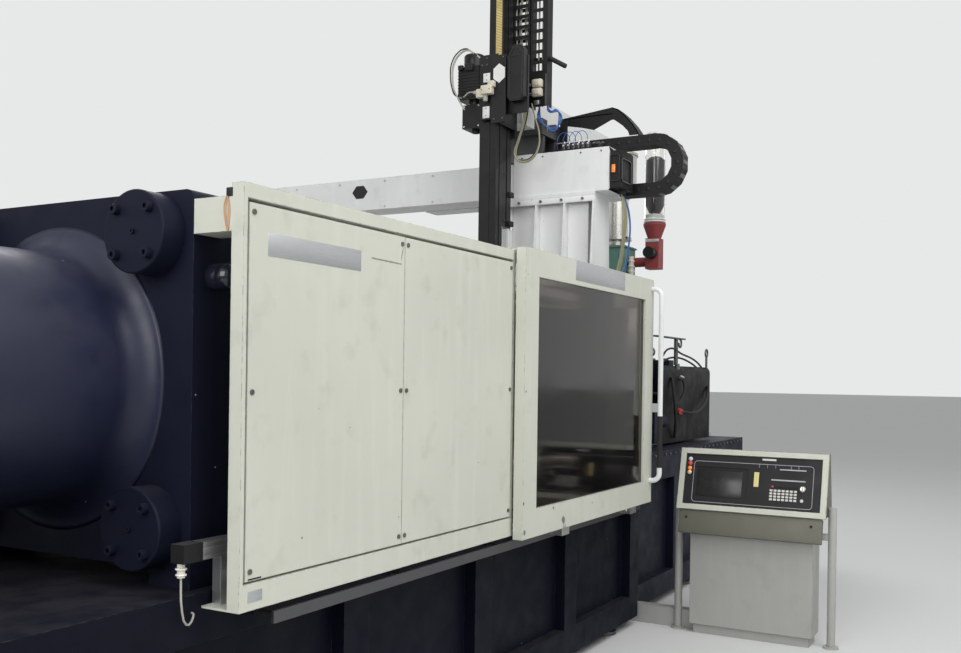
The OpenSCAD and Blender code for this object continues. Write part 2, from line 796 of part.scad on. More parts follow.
module nozzle() {
    flange_t = 40;
    tip_len = 40;
    tip_r = 16;
    color(STEEL) difference() {
        turned_x() polygon([[0, nozzle_tip_x], [tip_r, nozzle_tip_x], [nozzle_r, nozzle_tip_x + tip_len],
            [nozzle_r, barrel_x0 - flange_t - 40], [barrel_r * 0.8, barrel_x0 - flange_t],
            [barrel_r * 0.8, barrel_x0], [0, barrel_x0]]);
        rod_x([nozzle_tip_x - 1, barrel_x0 + 1], 0, axis_z, 5);
        rod_x([barrel_x0 - 60, barrel_x0 + 1], 0, axis_z, screw_r * 0.6);
    }
}

module heater_bands() {
    lug = 24;
    color(STEEL) for (i = [0 : band_n - 1]) {
        x = [barrel_x0 + 40 + i * band_step, barrel_x0 + 40 + i * band_step + band_w];
        difference() {
            union() {
                rod_x(x, 0, axis_z, barrel_r + seat_gap + band_t);
                slab(x, [-lug, lug], [axis_z - barrel_r - band_t - lug, axis_z - barrel_r]);
                slab([x[0] + 15, x[1] - 15], [-lug, lug], [axis_z + barrel_r,
                    axis_z + barrel_r + band_t + lug]);
            }
            rod_x([x[0] - 1, x[1] + 1], 0, axis_z, barrel_r + seat_gap);
            slab([x[0] - 1, x[1] + 1], [-2, 2], [axis_z - barrel_r * 2, axis_z]);
        }
    }
}

module barrel_cover() {
    wall = 3;
    x = [purge_x0 + purge_len + 20, housing_x0 - seat_gap];
    slot_w = 10;
    slot_n = floor((x[1] - x[0] - 100) / 50);
    color(CREAM) difference() {
        union() {
            rod_x(x, 0, axis_z, cover_r);
            slab(x, [-cover_r, cover_r], [axis_z - 150, axis_z]);
        }
        union() {
            rod_x([x[0] - 1, x[1] + 1], 0, axis_z, cover_r - wall);
            slab([x[0] - 1, x[1] + 1], [-cover_r + wall, cover_r - wall], [axis_z - 151, axis_z]);
        }
        for (i = [0 : slot_n - 1]) slab([x[0] + 50 + i * 50, x[0] + 50 + i * 50 + slot_w],
            [-cover_r - 1, cover_r + 1], [axis_z - 90, axis_z + 60]);
    }
    // saddle plates that hold the cover on the housing
    color(CREAM) both_sides() slab([housing_x0 - 20, housing_x0 - seat_gap],
        [-cover_r + wall, -barrel_r - band_t - 30], [axis_z - 60, axis_z + 60]);
}

module injection_cylinders() {
    wall = 22;
    color(IRON) both_sides() difference() {
        rod_x([housing_x1, inj_cyl_x1], -inj_cyl_y, axis_z, inj_cyl_r);
        rod_x([housing_x1 + 30, inj_cyl_x1 - 30], -inj_cyl_y, axis_z, inj_cyl_r - wall);
        rod_x([inj_cyl_x1 - 31, inj_cyl_x1 + 1], -inj_cyl_y, axis_z, inj_rod_r + rod_gap);
    }
}

module carriage_rods() {
    flange_t = 30;
    color(STEEL) both_sides() {
        rod_x([fix_back_x, fix_back_x + flange_t], -car_cyl_y, car_cyl_z, car_rod_r + flange_rim);
        rod_x([fix_back_x + flange_t, car_rod_x1], -car_cyl_y, car_cyl_z, car_rod_r);
    }
}

module crosshead() {
    plate_half = inj_cyl_y + inj_cyl_r;
    hub = motor_r + 25;
    wall = 22;
    piston_x = housing_x1 + 40;
    piston_t = 60;
    color(NAVY) difference() {
        union() {
            for (half = [[plate_half, inj_cyl_r + 30], [hub, hub]]) slab([crosshead_x0, crosshead_x1],
                [-half[0], half[0]], [axis_z - half[1], axis_z + half[1]]);
        }
        rod_x([crosshead_x0 - 1, crosshead_x0 + 80], 0, axis_z, screw_r + rod_gap);
    }
    color(STEEL) both_sides() {
        rod_x([piston_x, piston_x + piston_t], -inj_cyl_y, axis_z, inj_cyl_r - wall - rod_gap);
        rod_x([piston_x + piston_t, crosshead_x0], -inj_cyl_y, axis_z, inj_rod_r);
    }
}

module screw_motor() {
    flange_t = 35;
    port_r = 24;
    color(IRON) difference() {
        union() {
            slab([crosshead_x1, crosshead_x1 + flange_t], [-motor_r, motor_r],
                [axis_z - motor_r, axis_z + motor_r]);
            rod_x([crosshead_x1 + flange_t, crosshead_x1 + motor_len - 60], 0, axis_z, motor_r);
            rod_x([crosshead_x1 + motor_len - 60, crosshead_x1 + motor_len], 0, axis_z, motor_r - 35);
            for (s = [-1, 1]) rod_z(crosshead_x1 + motor_len / 2, s * 60,
                [axis_z, axis_z + motor_r + 45], port_r);
        }
        for (s = [-1, 1]) rod_z(crosshead_x1 + motor_len / 2, s * 60,
            [axis_z + motor_r, axis_z + motor_r + 46], port_r - 7);
    }
}

flight_steps = 12;
flight_t = 9;
screw_x0 = barrel_x0 + 6;
flight_x0 = screw_x0 + 60;
flight_turns = floor((feed_x + 70 - flight_x0) / screw_pitch);
module screw() {
    color(STEEL) {
        turned_x() polygon([[0, screw_x0], [screw_root, screw_x0 + 50],
            [screw_root, crosshead_x0 - screw_stroke - 150],
            [screw_r, crosshead_x0 - screw_stroke - 110], [screw_r, crosshead_x0 + 75],
                [0, crosshead_x0 + 75]]);
        flight();
    }
}
// helical flight: rings of four points that turn round the root
function flight_ring(i) = let (
    a = i * 360 / flight_steps,
    x = flight_x0 + i * screw_pitch / flight_steps)
    [for (c = [[screw_root - 2, 0], [screw_r, 0], [screw_r, flight_t], [screw_root - 2, flight_t]])
        [x + c[1], c[0] * cos(a), axis_z + c[0] * sin(a)]];
module flight() {
    n = flight_turns * flight_steps;
    points = [for (i = [0 : n]) each flight_ring(i)];
    sides = [for (i = [0 : n - 1], k = [0 : 3])
        [i * 4 + k, i * 4 + (k + 1) % 4, (i + 1) * 4 + (k + 1) % 4, (i + 1) * 4 + k]];
    polyhedron(points, concat([[3, 2, 1, 0]], sides, [[n * 4, n * 4 + 1, n * 4 + 2, n * 4 + 3]]));
}

purge_x0 = fix_back_x + nut_out + 40;
purge_len = 290;
purge_half = 230;
purge_z0 = axis_z - 190;
purge_z1 = axis_z + 260;
purge_wall = 4;
purge_pin_y = purge_half + 18;
purge_pin_z = purge_z1 - 15;
purge_pin_r = 10;
// hinged hood over the nozzle: its top and its operator side
module purge_guard() {
    x = [purge_x0, purge_x0 + purge_len];
    knuckle = 60;
    color(CREAM) difference() {
        union() {
            slab(x, [-purge_half, purge_pin_y], [purge_z1 - purge_wall, purge_z1]);
            slab(x, [-purge_half, -purge_half + purge_wall], [purge_z0, purge_z1]);
            for (k = [x[0] + 20, x[1] - 20 - knuckle]) rod_x([k, k + knuckle], purge_pin_y, purge_pin_z, 18);
        }
        rod_x([x[0] - 1, x[1] + 1], purge_pin_y, purge_pin_z, purge_pin_r + 0.1);
    }
}
module purge_guard_mount() {
    boss_r = 34;
    boss_t = 20;
    color(IRON) {
        rod_x([fix_back_x, purge_x0 + purge_len + 10], purge_pin_y, purge_pin_z, purge_pin_r);
        rod_x([fix_back_x, fix_back_x + boss_t], purge_pin_y, purge_pin_z, boss_r);
        slab([fix_back_x, purge_x0 + purge_len], [purge_half - purge_wall, purge_half],
            [purge_z0, purge_pin_z - 25]);
        // flange on the platen, and the pin's far lug
        slab([fix_back_x, fix_back_x + boss_t], [purge_half - purge_wall, purge_half + 40],
            [purge_z0, purge_pin_z]);
        slab([purge_x0 + purge_len + 2, purge_x0 + purge_len + 10],
            [purge_half - purge_wall, purge_pin_y + 14],
            [purge_z0, purge_pin_z + 14]);
        slab([purge_x0 + purge_len - 1, purge_x0 + purge_len + 3], [purge_half - purge_wall, purge_half],
            [purge_z0, purge_pin_z - 25]);
    }
}

module hopper_base() {
    duct_half = 75;
    color("darkseagreen") difference() {
        union() {
            slab([feed_x - 130, feed_x + 130], [-130, 130], [housing_z1, housing_z1 + 24]);
            slab([feed_x - duct_half, feed_x + duct_half], [-duct_half, duct_half],
                [housing_z1 + 24, mixer_z0]);
            slab([feed_x - duct_half - 25, feed_x + duct_half + 25], [-duct_half - 25, duct_half + 25],
                [gate_z0 - 20, gate_z0 + gate_t + 20]);
            slab([feed_x - mixer_half, feed_x + mixer_half], [-mixer_half, mixer_half],
                [mixer_z0, mixer_top - 6]);
            slab([feed_x - mixer_half - 12, feed_x + mixer_half + 12], [-mixer_half - 12, mixer_half + 12],
                [mixer_top - 6, mixer_top]);
        }
        rod_z(feed_x, 0, [housing_z1 - 1, mixer_top + 1], throat_r);
        rod_z(feed_x, 0, [mixer_z0 + 30, mixer_top + 1], neck_r - 10);
        slab([feed_x - gate_half - slide_gap, feed_x + gate_half + slide_gap], [-duct_half - 26, 80],
            [gate_z0 - slide_gap, gate_z0 + gate_t + slide_gap]);
    }
}

module hopper_gate() {
    grip_w = 30;
    y = [-throat_r - 178, -throat_r - 4];
    color(STEEL) {
        slab([feed_x - gate_half, feed_x + gate_half], y, [gate_z0, gate_z0 + gate_t]);
        slab([feed_x - grip_w, feed_x + grip_w], [y[0] - 12, y[0]], [gate_z0 - 12, gate_z0 + gate_t + 12]);
    }
}

module hopper() {
    lid_t = 18;
    z0 = mixer_top;
    z1 = z0 + 60;
    z2 = z1 + 24 + feed_tube_h;
    z3 = z2 + 90;
    z4 = z3 + hopper_wall_h;
    color("gainsboro") translate([feed_x, 0, 0]) rotate_extrude() difference() {
        polygon([[0, z0], [neck_r + 22, z0], [neck_r + 22, z0 + 12], [neck_r, z0 + 22], [neck_r, z1 - 8],
            [feed_flange_r, z1], [feed_flange_r, z1 + 24], [feed_tube_r, z1 + 24], [feed_tube_r, z2],
            [hopper_r, z3], [hopper_r, z4], [hopper_r + 10, z4], [hopper_r + 10, z4 + lid_t],
                [0, z4 + lid_t]]);
        polygon([[0, z0 - 1], [neck_r - 10, z0 - 1], [neck_r - 10, z1], [feed_tube_r - 4, z1 + 30],
            [feed_tube_r - 4, z2], [hopper_r - 4, z3], [hopper_r - 4, z4 - 1], [0, z4 - 1]]);
    }
}

dosing_half = 55;
dosing_z0 = 2490;
dosing_z1 = 2730;
funnel_h = 120;
module dosing_unit() {
    auger_r = 38;
    motor_rad = 44;
    color("firebrick") {
        slab([feed_x - dosing_half, feed_x + dosing_half], [dosing_y - dosing_half, dosing_y + dosing_half],
            [dosing_z0, dosing_z1]);
        rod_y(feed_x, [dosing_y + dosing_half, -mixer_half], dosing_z0 + 60, auger_r);
        translate([feed_x, dosing_y, 0]) rotate_extrude() polygon([[0, dosing_z1],
            [dosing_half - 4, dosing_z1],
            [sight_r + 8, dosing_z1 + funnel_h - 16], [sight_r + 8, dosing_z1 + funnel_h],
                [0, dosing_z1 + funnel_h]]);
    }
    color(BLACK) rod_x([feed_x - dosing_half - 90, feed_x - dosing_half], dosing_y, dosing_z0 + 120,
        motor_rad);
}

module sight_tube() {
    z0 = dosing_z1 + funnel_h;
    wall = 5;
    color("lightgray", 0.5) difference() {
        union() {
            rod_z(feed_x, dosing_y, [z0, z0 + sight_h], sight_r);
            rod_z(feed_x, dosing_y, [z0 + sight_h, z0 + sight_h + 14], sight_r + 6);
        }
        rod_z(feed_x, dosing_y, [z0 + 3, z0 + sight_h - 1], sight_r - wall);
    }
}

module pump_motor() {
    r = pump_r;
    x = inj_bed_x0 + bay_in + 1.2 * r;
    floor_z = bed_clear + 60;
    z = floor_z + r * 4 / 3;
    y = inj_bed_half - bay_in * 0.27;
    color(IRON) {
        rod_x([x, x + 3.4 * r], y, z, r);
        rod_x([x + 3.4 * r, x + 3.8 * r], y, z, r * 0.7);
        rod_x([x + 3.8 * r, x + 5.5 * r], y, z, r * 0.55);
        slab([x + 0.4 * r, x + 3 * r], [y - 0.9 * r, y + 0.9 * r], [floor_z, z - r * 0.8]);
        slab([x + r, x + 2.3 * r], [y - r / 2, y + r / 2], [z + r * 0.8, z + r * 1.4]);
    }
}

// sheet metal tray, open to the centre plane
module tray(x, z, y_out, depth, wall)
    difference() {
        slab(x, [-y_out, -y_out + depth], z);
        slab([x[0] + wall, x[1] - wall], [-y_out + wall, -y_out + depth + 1], [z[0] + wall, z[1] - wall]);
    }

module guard_frame() {
    y0 = -guard_y;
    y1 = -guard_y + guard_d;
    apron_z1 = guard_z0 + apron_h;
    mullion = 40;
    color(CREAM) {
        difference() {
            union() {
                slab([0, guard_len], [y0, y1], [guard_z1 - beam_h, guard_z1]);
                slab([0, guard_len], [y0, y1], [guard_z0, apron_z1]);
                slab([0, stile_w], [y0, y1], [apron_z1, guard_z1 - beam_h]);
                slab([guard_len - stile_w, guard_len], [y0, y1], [apron_z1, guard_z1 - beam_h]);
                slab([seam_x - mullion, seam_x + mullion], [y0 + fold_d, y1], [apron_z1, guard_z1 - beam_h]);
                // folded rims that the panels rest on
                for (x = [stile_w, guard_len - stile_w - 30])
                    slab([x, x + 30], [y0 + fold_d, y1], [apron_z1, guard_z1 - beam_h]);
                // shelf to the bed, header and post round the doorway
                slab([0, post_x0 + post_w], [y1 - 2, -bed_half], [guard_z0, guard_z0 + shelf_t]);
                slab([guard_len - 1, post_x0 + post_w], [-header_y1, -header_y0],
                    [guard_z1 - beam_h, guard_z1]);
                slab([post_x0, post_x0 + post_w], [-header_y1, -header_y0], [guard_z0, guard_z1]);
                // box bracket to the cylinder platen
                slab([0, bracket_len], [y1 - 1, -platen_half], [bracket_z0, bracket_z0 + bracket_h]);
                slab([post_x0 - 10, post_x0 + post_w], [-header_y0 - 1, -platen_half],
                    [bracket_z0, bracket_z0 + bracket_h]);
            }
            slab([4, guard_len - 4], [y0 + 4, y1 + 1], [guard_z1 - beam_h + 4, guard_z1 - 4]);
        }
    }
}

module guard_panel(x)
    tray(x, [panel_z0, panel_z1], guard_y, fold_d, sheet_t);
module guard_panel_rear() color(CREAM) guard_panel([panel_x0, seam_x - 1.5]);
module guard_panel_front() color(CREAM) guard_panel([seam_x + 1.5, panel_x1]);

module guard_screws() {
    head_r = 9;
    head_h = 4;
    color(STEEL) for (x = panel_screw_x, z = panel_screw_z) difference() {
        rod_y(x, [-guard_y - head_h, -guard_y], z, head_r);
        slab([x - 1, x + 1], [-guard_y - head_h - 1, -guard_y - head_h + 1.5], [z - head_r, z + head_r]);
    }
}

// sliding door leaf on the operator side, with the opening for its window
module door_leaf() {
    hook = 52;
    lip = 8;
    difference() {
        slab([door_x0, door_x1], [-door_y, -door_y + door_d], [door_z0, door_z1]);
        slab([win_x0, win_x1], [-door_y - 1, -door_y + door_d + 1], [win_z0, win_z1]);
        slab([win_x0 - pane_lap, win_x1 + pane_lap], [-door_y + 14, -door_y + door_d + 1],
            [win_z0 - pane_lap, win_z1 + pane_lap]);
    }
    // hook over the guard's top edge
    slab([door_x0 + 40, door_x1 - 40], [-door_y + door_d - 1, -door_y + door_d + hook],
        [door_z1 - lip, door_z1]);
}
module pane()
    slab([win_x0 - pane_lap + 1, win_x1 + pane_lap - 1], [-door_y + 14, -door_y + 14 + pane_t],
        [win_z0 - pane_lap + 1, win_z1 + pane_lap - 1]);

module door_frame() color(CREAM) door_leaf();
module door_window() color("dimgray", 0.5) pane();
module door_handle() {
    x = door_x1 - 32;
    z1 = door_z1 - 57;
    z0 = z1 - handle_len;
    bend = 45;
    y = -door_y - handle_out;
    color("white") {
        for (z = [z0, z1]) rod_y(x, [y + bend, -door_y], z, handle_r);
        rod_z(x, y, [z0 + bend, z1 - bend], handle_r);
        translate([x, y + bend, z1 - bend]) rotate([0, -90, 0]) rotate([0, 0, -90])
            rotate_extrude(angle = 90) translate([bend, 0]) circle(handle_r);
        translate([x, y + bend, z0 + bend]) rotate([0, -90, 0]) rotate([0, 0, 180])
            rotate_extrude(angle = 90) translate([bend, 0]) circle(handle_r);
    }
}
// guide shoes under a door, reaching back round its lower rail
module door_shoe_pair() {
    grip = 10;
    y0 = -door_y + 8;
    for (x = shoe_at) difference() {
        union() {
            slab([door_x0 + x, door_x0 + x + shoe_len], [y0, -door_y + door_d - 2],
                [door_rail_z1 - 26, door_z0]);
            slab([door_x0 + x, door_x0 + x + shoe_len], [-door_y + door_d - 3,
                -door_rail_y + door_rail_t + grip],
                [door_rail_z1 - 26, door_z0 - 2]);
        }
        slab([door_x0 + x - 1, door_x0 + x + shoe_len + 1],
            [-door_rail_y - slide_gap, -door_rail_y + door_rail_t + slide_gap],
            [door_rail_z1 - 27, door_rail_z1 + slide_gap]);
    }
}
module door_shoes() color(STEEL) door_shoe_pair();
module door_rails() {
    color(IRON) both_sides() {
        slab([door_rail_x0, door_rail_x1], [-door_rail_y, -door_rail_y + door_rail_t],
            [door_rail_z1 - door_rail_h, door_rail_z1]);
        for (i = [0 : 4]) {
            x = door_rail_x0 + 60 + i * (door_rail_x1 - door_rail_x0 - 160) / 4;
            slab([x, x + 40], [-door_rail_y + door_rail_t, -bed_half],
                [door_rail_z1 - door_rail_h, door_rail_z1 - door_rail_h + 12]);
        }
    }
}
module rear_guard() {
    color(CREAM) mirror([0, 1, 0]) {
        guard_frame();
        difference() {
            slab([panel_x0, panel_x1], [-guard_y, -guard_y + fold_d], [panel_z0, panel_z1]);
            slab([panel_x0 + sheet_t, panel_x1 - sheet_t], [-guard_y + sheet_t, -guard_y + fold_d + 1],
                [panel_z0 + sheet_t, panel_z1 - sheet_t]);
        }
    }
}
module rear_door() color(CREAM) mirror([0, 1, 0]) {
    door_leaf();
    door_shoe_pair();
}
module rear_window() color("dimgray", 0.5) mirror([0, 1, 0]) pane();

sensor_x0 = -129;
sensor_cap_l = 79;
sensor_z = axis_z - bar_pitch / 2 - sensor_down;
sensor_y = -platen_half - sensor_off;
gland_x = sensor_x0 + 17;
gland_h = 45;
module position_sensor() {
    color(STEEL) difference() {
        slab([sensor_x0 + sensor_cap_l, sensor_x0 + sensor_len],
            [sensor_y - sensor_a / 2, sensor_y + sensor_a / 2],
            [sensor_z - sensor_a / 2, sensor_z + sensor_a / 2]);
        for (dz = [-12, 12]) slab([sensor_x0 + sensor_cap_l - 1, sensor_x0 + sensor_len + 1],
            [sensor_y - sensor_a / 2 - 1, sensor_y - sensor_a / 2 + 5],
                [sensor_z + dz - 4, sensor_z + dz + 4]);
    }
    color(BLACK) {
        slab([sensor_x0, sensor_x0 + sensor_cap_l], [sensor_y - sensor_a / 2 - 2, sensor_y + sensor_a / 2],
            [sensor_z - sensor_a / 2 - 2, sensor_z + sensor_a / 2 + 2]);
        rod_z(gland_x, sensor_y, [sensor_z - sensor_a / 2 - 2 - gland_h, sensor_z - sensor_a / 2 - 2], 12);
    }
    // feet on the guard's shelf
    color(STEEL) for (x = [40, 260]) slab([x, x + 40], [sensor_y - 18, sensor_y + 18],
        [guard_z0 + shelf_t, sensor_z - sensor_a / 2]);
}

cable_z0 = sensor_z - sensor_a / 2 - 2 - gland_h;
cable_route = [[gland_x, sensor_y, cable_z0], [gland_x, sensor_y, cable_z0 - 30],
    [gland_x + 1, sensor_y, cable_z0 - 70], [gland_x + 6, sensor_y, cable_z0 - 105],
    [gland_x + 14, sensor_y + 1, cable_z0 - 134], [gland_x + 26, sensor_y + 2, cable_z0 - 149],
    [gland_x + 40, sensor_y + 4, cable_z0 - 152], [gland_x + 53, sensor_y + 7, cable_z0 - 145],
    [gland_x + 62, sensor_y + 10, cable_z0 - 135], [gland_x + 68, sensor_y + 14, cable_z0 - 127],
    [gland_x + 70, -bed_half - 6, cable_z0 - 124], [gland_x + 70, -bed_half, cable_z0 - 124]];
function unit(v) = v / norm(v);
function heading(p, i) = unit(p[min(i + 1, len(p) - 1)] - p[max(i - 1, 0)]);
function ring(p, i, r, n) = let (
    d = heading(p, i),
    side = unit(cross(d, [0.2, 1, 0.1])),
    up = cross(side, d))
    [for (k = [0 : n - 1]) p[i] + r * (side * cos(k * 360 / n) + up * sin(k * 360 / n))];
module tube_along(p, r, n) {
    m = len(p);
    points = [for (i = [0 : m - 1]) each ring(p, i, r, n)];
    sides = [for (i = [0 : m - 2], k = [0 : n - 1], half = [0, 1]) half == 0
        ? [i * n + k, (i + 1) * n + k, (i + 1) * n + (k + 1) % n]
        : [i * n + k, (i + 1) * n + (k + 1) % n, i * n + (k + 1) % n]];
    polyhedron(points, concat([[for (k = [0 : n - 1]) k]], sides,
        [[for (k = [n - 1 : -1 : 0]) (m - 1) * n + k]]));
}
module sensor_cable() color("gray") tube_along(cable_route, cable_r, 8);

// console in its own frame: x into the housing, y across, z up the face
module on_console() translate([con_x, con_y, con_z]) rotate([0, con_lean, 0]) children();
con_top_x = con_h * sin(con_lean);
con_top_z = con_h * cos(con_lean);
fascia_w = con_w - 2 * bezel_w;
fascia_h = con_h - 2 * bezel_w;
bezel_t = 22;
fascia_t = 12;
switch_y = -fascia_w / 2 + 111;
switch_z = con_h * 0.435;
switch_r = 13;
module console_housing() {
    color("darkgray") difference() {
        translate([con_x, con_y + con_w / 2 - 10, con_z]) rotate([90, 0, 0]) linear_extrude(con_w - 20)
            polygon([[0, 0], [con_top_x, con_top_z], [con_top_x + 90, con_top_z], [con_d, 60], [con_d, 0]]);
        on_console() rod_x([-1, 40], switch_y, switch_z, switch_r + 6);
    }
}
module console_bezel() color(CREAM) on_console() difference() {
    slab([-bezel_t, 0], [-con_w / 2, con_w / 2], [0, con_h]);
    slab([-bezel_t - 1, 1], [-fascia_w / 2, fascia_w / 2], [bezel_w, con_h - bezel_w]);
}
module console_fascia() {
    screen = [con_w * 0.026, fascia_w / 2 - 74];
    color(BLACK) on_console() difference() {
        slab([-fascia_t, 0], [-fascia_w / 2 + 0.5, fascia_w / 2 - 0.5],
            [bezel_w + 0.5, con_h - bezel_w - 0.5]);
        slab([-fascia_t - 1, -fascia_t + 6], screen, [bezel_w + 53, con_h - bezel_w - 83]);
        rod_x([-fascia_t - 1, 1], switch_y, switch_z, switch_r + 0.1);
    }
}
module key_switch() color(STEEL) on_console() {
    rod_x([-fascia_t - 8, 20], switch_y, switch_z, switch_r);
    slab([-fascia_t - 36, -fascia_t - 8], [switch_y - 2.5, switch_y + 2.5], [switch_z - 11, switch_z + 11]);
}
module console_stand() {
    cab_half = 380;
    duct_h = 120;
    color("gray") {
        slab([con_x + 30, con_x + con_d], [con_y - cab_half, con_y + cab_half], [60, con_z]);
        slab([con_x + 50, con_x + con_d - 20], [con_y - cab_half + 20, con_y + cab_half - 20], [0, 60]);
        for (s = [-1, 1]) {
            y = con_y + s * (con_w / 2 + post_off);
            rod_z(con_x + 110, y, [0, con_z + 60], post_r);
            rod_z(con_x + 110, y, [0, 12], post_foot_r);
            slab([con_x + 95, con_x + 125], s > 0 ? [con_y + cab_half - 1, y] : [y, con_y - cab_half + 1],
                [con_z - 140, con_z - 100]);
        }
        // cable duct on the floor, from the cabinet to the injection bed
        slab([con_x + 120, con_x + 200], [con_y + cab_half - 21, -inj_bed_half], [0, duct_h]);
    }
}

module robot_pedestal() {
    y = [ped_y0, ped_y1];
    x0 = fix_face_x + 15;
    x1 = rbeam_x1 + 25;
    rib_n = 5;
    step = (ped_y1 - ped_y0 - ped_t) / (rib_n - 1);
    color("white") {
        slab([x0, x1], y, [platen_z1, platen_z1 + 25]);
        slab([rbeam_x - 22, rbeam_x1], y, [rbeam_z0 - 25, rbeam_z0]);
        slab([rbeam_x + 30, rbeam_x1 - 30], [ped_y0 + 60, ped_y1 - 60], [platen_z1 + 24, rbeam_z0 - 24]);
        for (i = [0 : rib_n - 1]) translate([0, ped_y0 + i * step + ped_t, 0]) rotate([90, 0, 0])
            linear_extrude(ped_t) polygon([[x0 + 8, platen_z1 + 24], [x1 - 4, platen_z1 + 24],
                [rbeam_x1 - 4, rbeam_z0 - 24], [rbeam_x - 18, rbeam_z0 - 24]]);
    }
}

rail_h = 12;
cover_t2 = 12;
module robot_beam() {
    color("white") {
        slab([rbeam_x, rbeam_x1], [rbeam_y0, rbeam_y1], [rbeam_z0, rbeam_z1]);
        slab([rbeam_x - 8, rbeam_x1 + 8], [rbeam_y1, rbeam_y1 + 12], [rbeam_z0 - 8, rbeam_z1 + 8]);
        for (x = [rbeam_x + 30, rbeam_x1 - 60])
            slab([x, x + 30], [rbeam_y0 + 20, rbeam_y1 - 20], [rbeam_z1, rbeam_z1 + rail_h]);
        // front cover, a little larger than the beam
        slab([rbeam_x - cover_t2, rbeam_x], [rbeam_y0 - 12, 60], [rbeam_z0, rbeam_z1 + 55]);
        slab([rbeam_x - cover_t2, rbeam_x1], [rbeam_y0 - 12, rbeam_y0], [rbeam_z0, rbeam_z1 + 55]);
        // tray for the lower run of the energy chain
        slab([rbeam_x1, chain_x0 + link_w + 6], [rbeam_y0 + 20, 900],
            [chain_zc - chain_r - 10 - seat_gap, chain_zc - chain_r - seat_gap]);
        slab([chain_x0 + link_w + 2, chain_x0 + link_w + 6], [rbeam_y0 + 20, 900],
            [chain_zc - chain_r - 1, chain_zc - chain_r + link_h * 0.6]);
    }
    // motor box on the front end
    color(BLACK) slab([rbeam_x + 6, rbeam_x1 - 20], [rbeam_y0 - 90, rbeam_y0 - 11],
        [rbeam_z0 + 14, rbeam_z1 + 30]);
}

module robot_carriage() {
    half = 150;
    z0 = rbeam_z1 + rail_h + slide_gap;
    wall = 36;
    color(IRON) {
        slab([rbeam_x + 4, rbeam_x1 + 30], [-half, half], [z0, z0 + wall]);
        for (x = [rbeam_x + 10, rbeam_x1 - 40])
            slab([x, x + 30], [-half + 10, half - 10], [z0 + wall - 1, kick_z0 - slide_gap - wall + 1]);
        slab([rbeam_x - 20, rbeam_x1 + 30], [-half, half], [kick_z0 - slide_gap - wall,
            kick_z0 - slide_gap]);
        both_sides() for (x = [rbeam_x - 20, rbeam_x1 - 50])
            slab([x, x + 80], [-half + 5, -kick_half - slide_gap], [kick_z0 - slide_gap - 1, kick_z0 + 70]);
        // arm that the energy chain ends on
        slab([rbeam_x1 + 29, chain_x0 + link_w], [chain_end_y, half],
            [chain_zc + chain_r - link_h, chain_zc + chain_r]);
        slab([rbeam_x1 + 29, rbeam_x1 + 39], [chain_end_y, half], [z0, chain_zc + chain_r]);
    }
    color(BLACK) rod_z(rbeam_x + rbeam_w / 2, half + 60, [z0 + 4, kick_z0 - 60], 48);
    color(BLACK) slab([rbeam_x + 60, rbeam_x1 - 60], [half - 1, half + 108], [z0, z0 + 20]);
}

module kick_beam() {
    stage_lo = stage_y - stage_b / 2 - seat_gap;
    stage_hi = stage_y + stage_b / 2 + seat_gap;
    cheek = 18;
    cheek_z = [head_z0 + 51, head_z1];
    plate_x0 = stage_x0 - 32;
    cover = [stage_lo - 203, stage_lo - 91];
    color("white") slab([head_x0 + head_t, head_x0 + kick_len], [-kick_half, kick_half], [kick_z0, kick_z1]);
    color(BLACK) {
        // back plate, with a wing that carries the ladder of the cables
        slab([head_x0, head_x0 + head_t], [stage_lo - cheek, stage_hi + cheek], [head_z0, head_z1]);
        slab([head_x0, head_x0 + head_t], [ladder_y0, stage_lo], [ladder_z0, head_z1 - 20]);
        // cheeks beside the arm, and the cover plates in front of it
        slab([plate_x0, head_x0 + 1], [stage_lo - cheek, stage_lo], cheek_z);
        slab([stage_x0 + 20, head_x0 + 1], [stage_hi, stage_hi + cheek], cheek_z);
        slab([plate_x0, plate_x0 + 12], [stage_lo - cheek, arm_y + 47], [head_z0 + 70, stage_z1 + 11]);
        slab([plate_x0 - 12, plate_x0 + 1], [stage_lo - 82, stage_lo + 18], [head_z0 + 41, stage_z1 - 5]);
        // belt cover with a bevelled top, on its own plate
        slab([stage_x0 + 9, stage_x0 + 25], [cover[0] - 6, stage_lo - cheek + 1],
            [head_z0 + 101, head_z1 + 41]);
        translate([stage_x0 - 40, 0, 0]) rotate([90, 0, 90]) linear_extrude(50) polygon([
            [cover[0], head_z0 + 190], [cover[0], cover_z1 - 30], [cover[0] + 21, cover_z1 - 3],
            [cover[0] + 74, cover_z1], [cover[1], cover_z1 - 65], [cover[1], head_z0 + 190],
            [cover[1] - 23, head_z0 + 164], [cover[0] + 23, head_z0 + 164]]);
        // motor beside the arm, on its gearbox
        slab([stage_x0 + 40, stage_x0 + 165], [stage_hi + cheek - 1, stage_hi + 150],
            [head_z0 + 51, head_z0 + 200]);
        rod_z(stage_x0 + 102, stage_hi + 90, [head_z0 + 199, motor_z0 + 1], 42);
        slab([stage_x0 + 30, stage_x0 + 180], [stage_hi + 28, stage_hi + 178], [motor_z0, motor_z0 + 210]);
        rod_z(stage_x0 + 105, stage_hi + 103, [motor_z0 + 209, motor_z0 + 280], 68);
    }
}

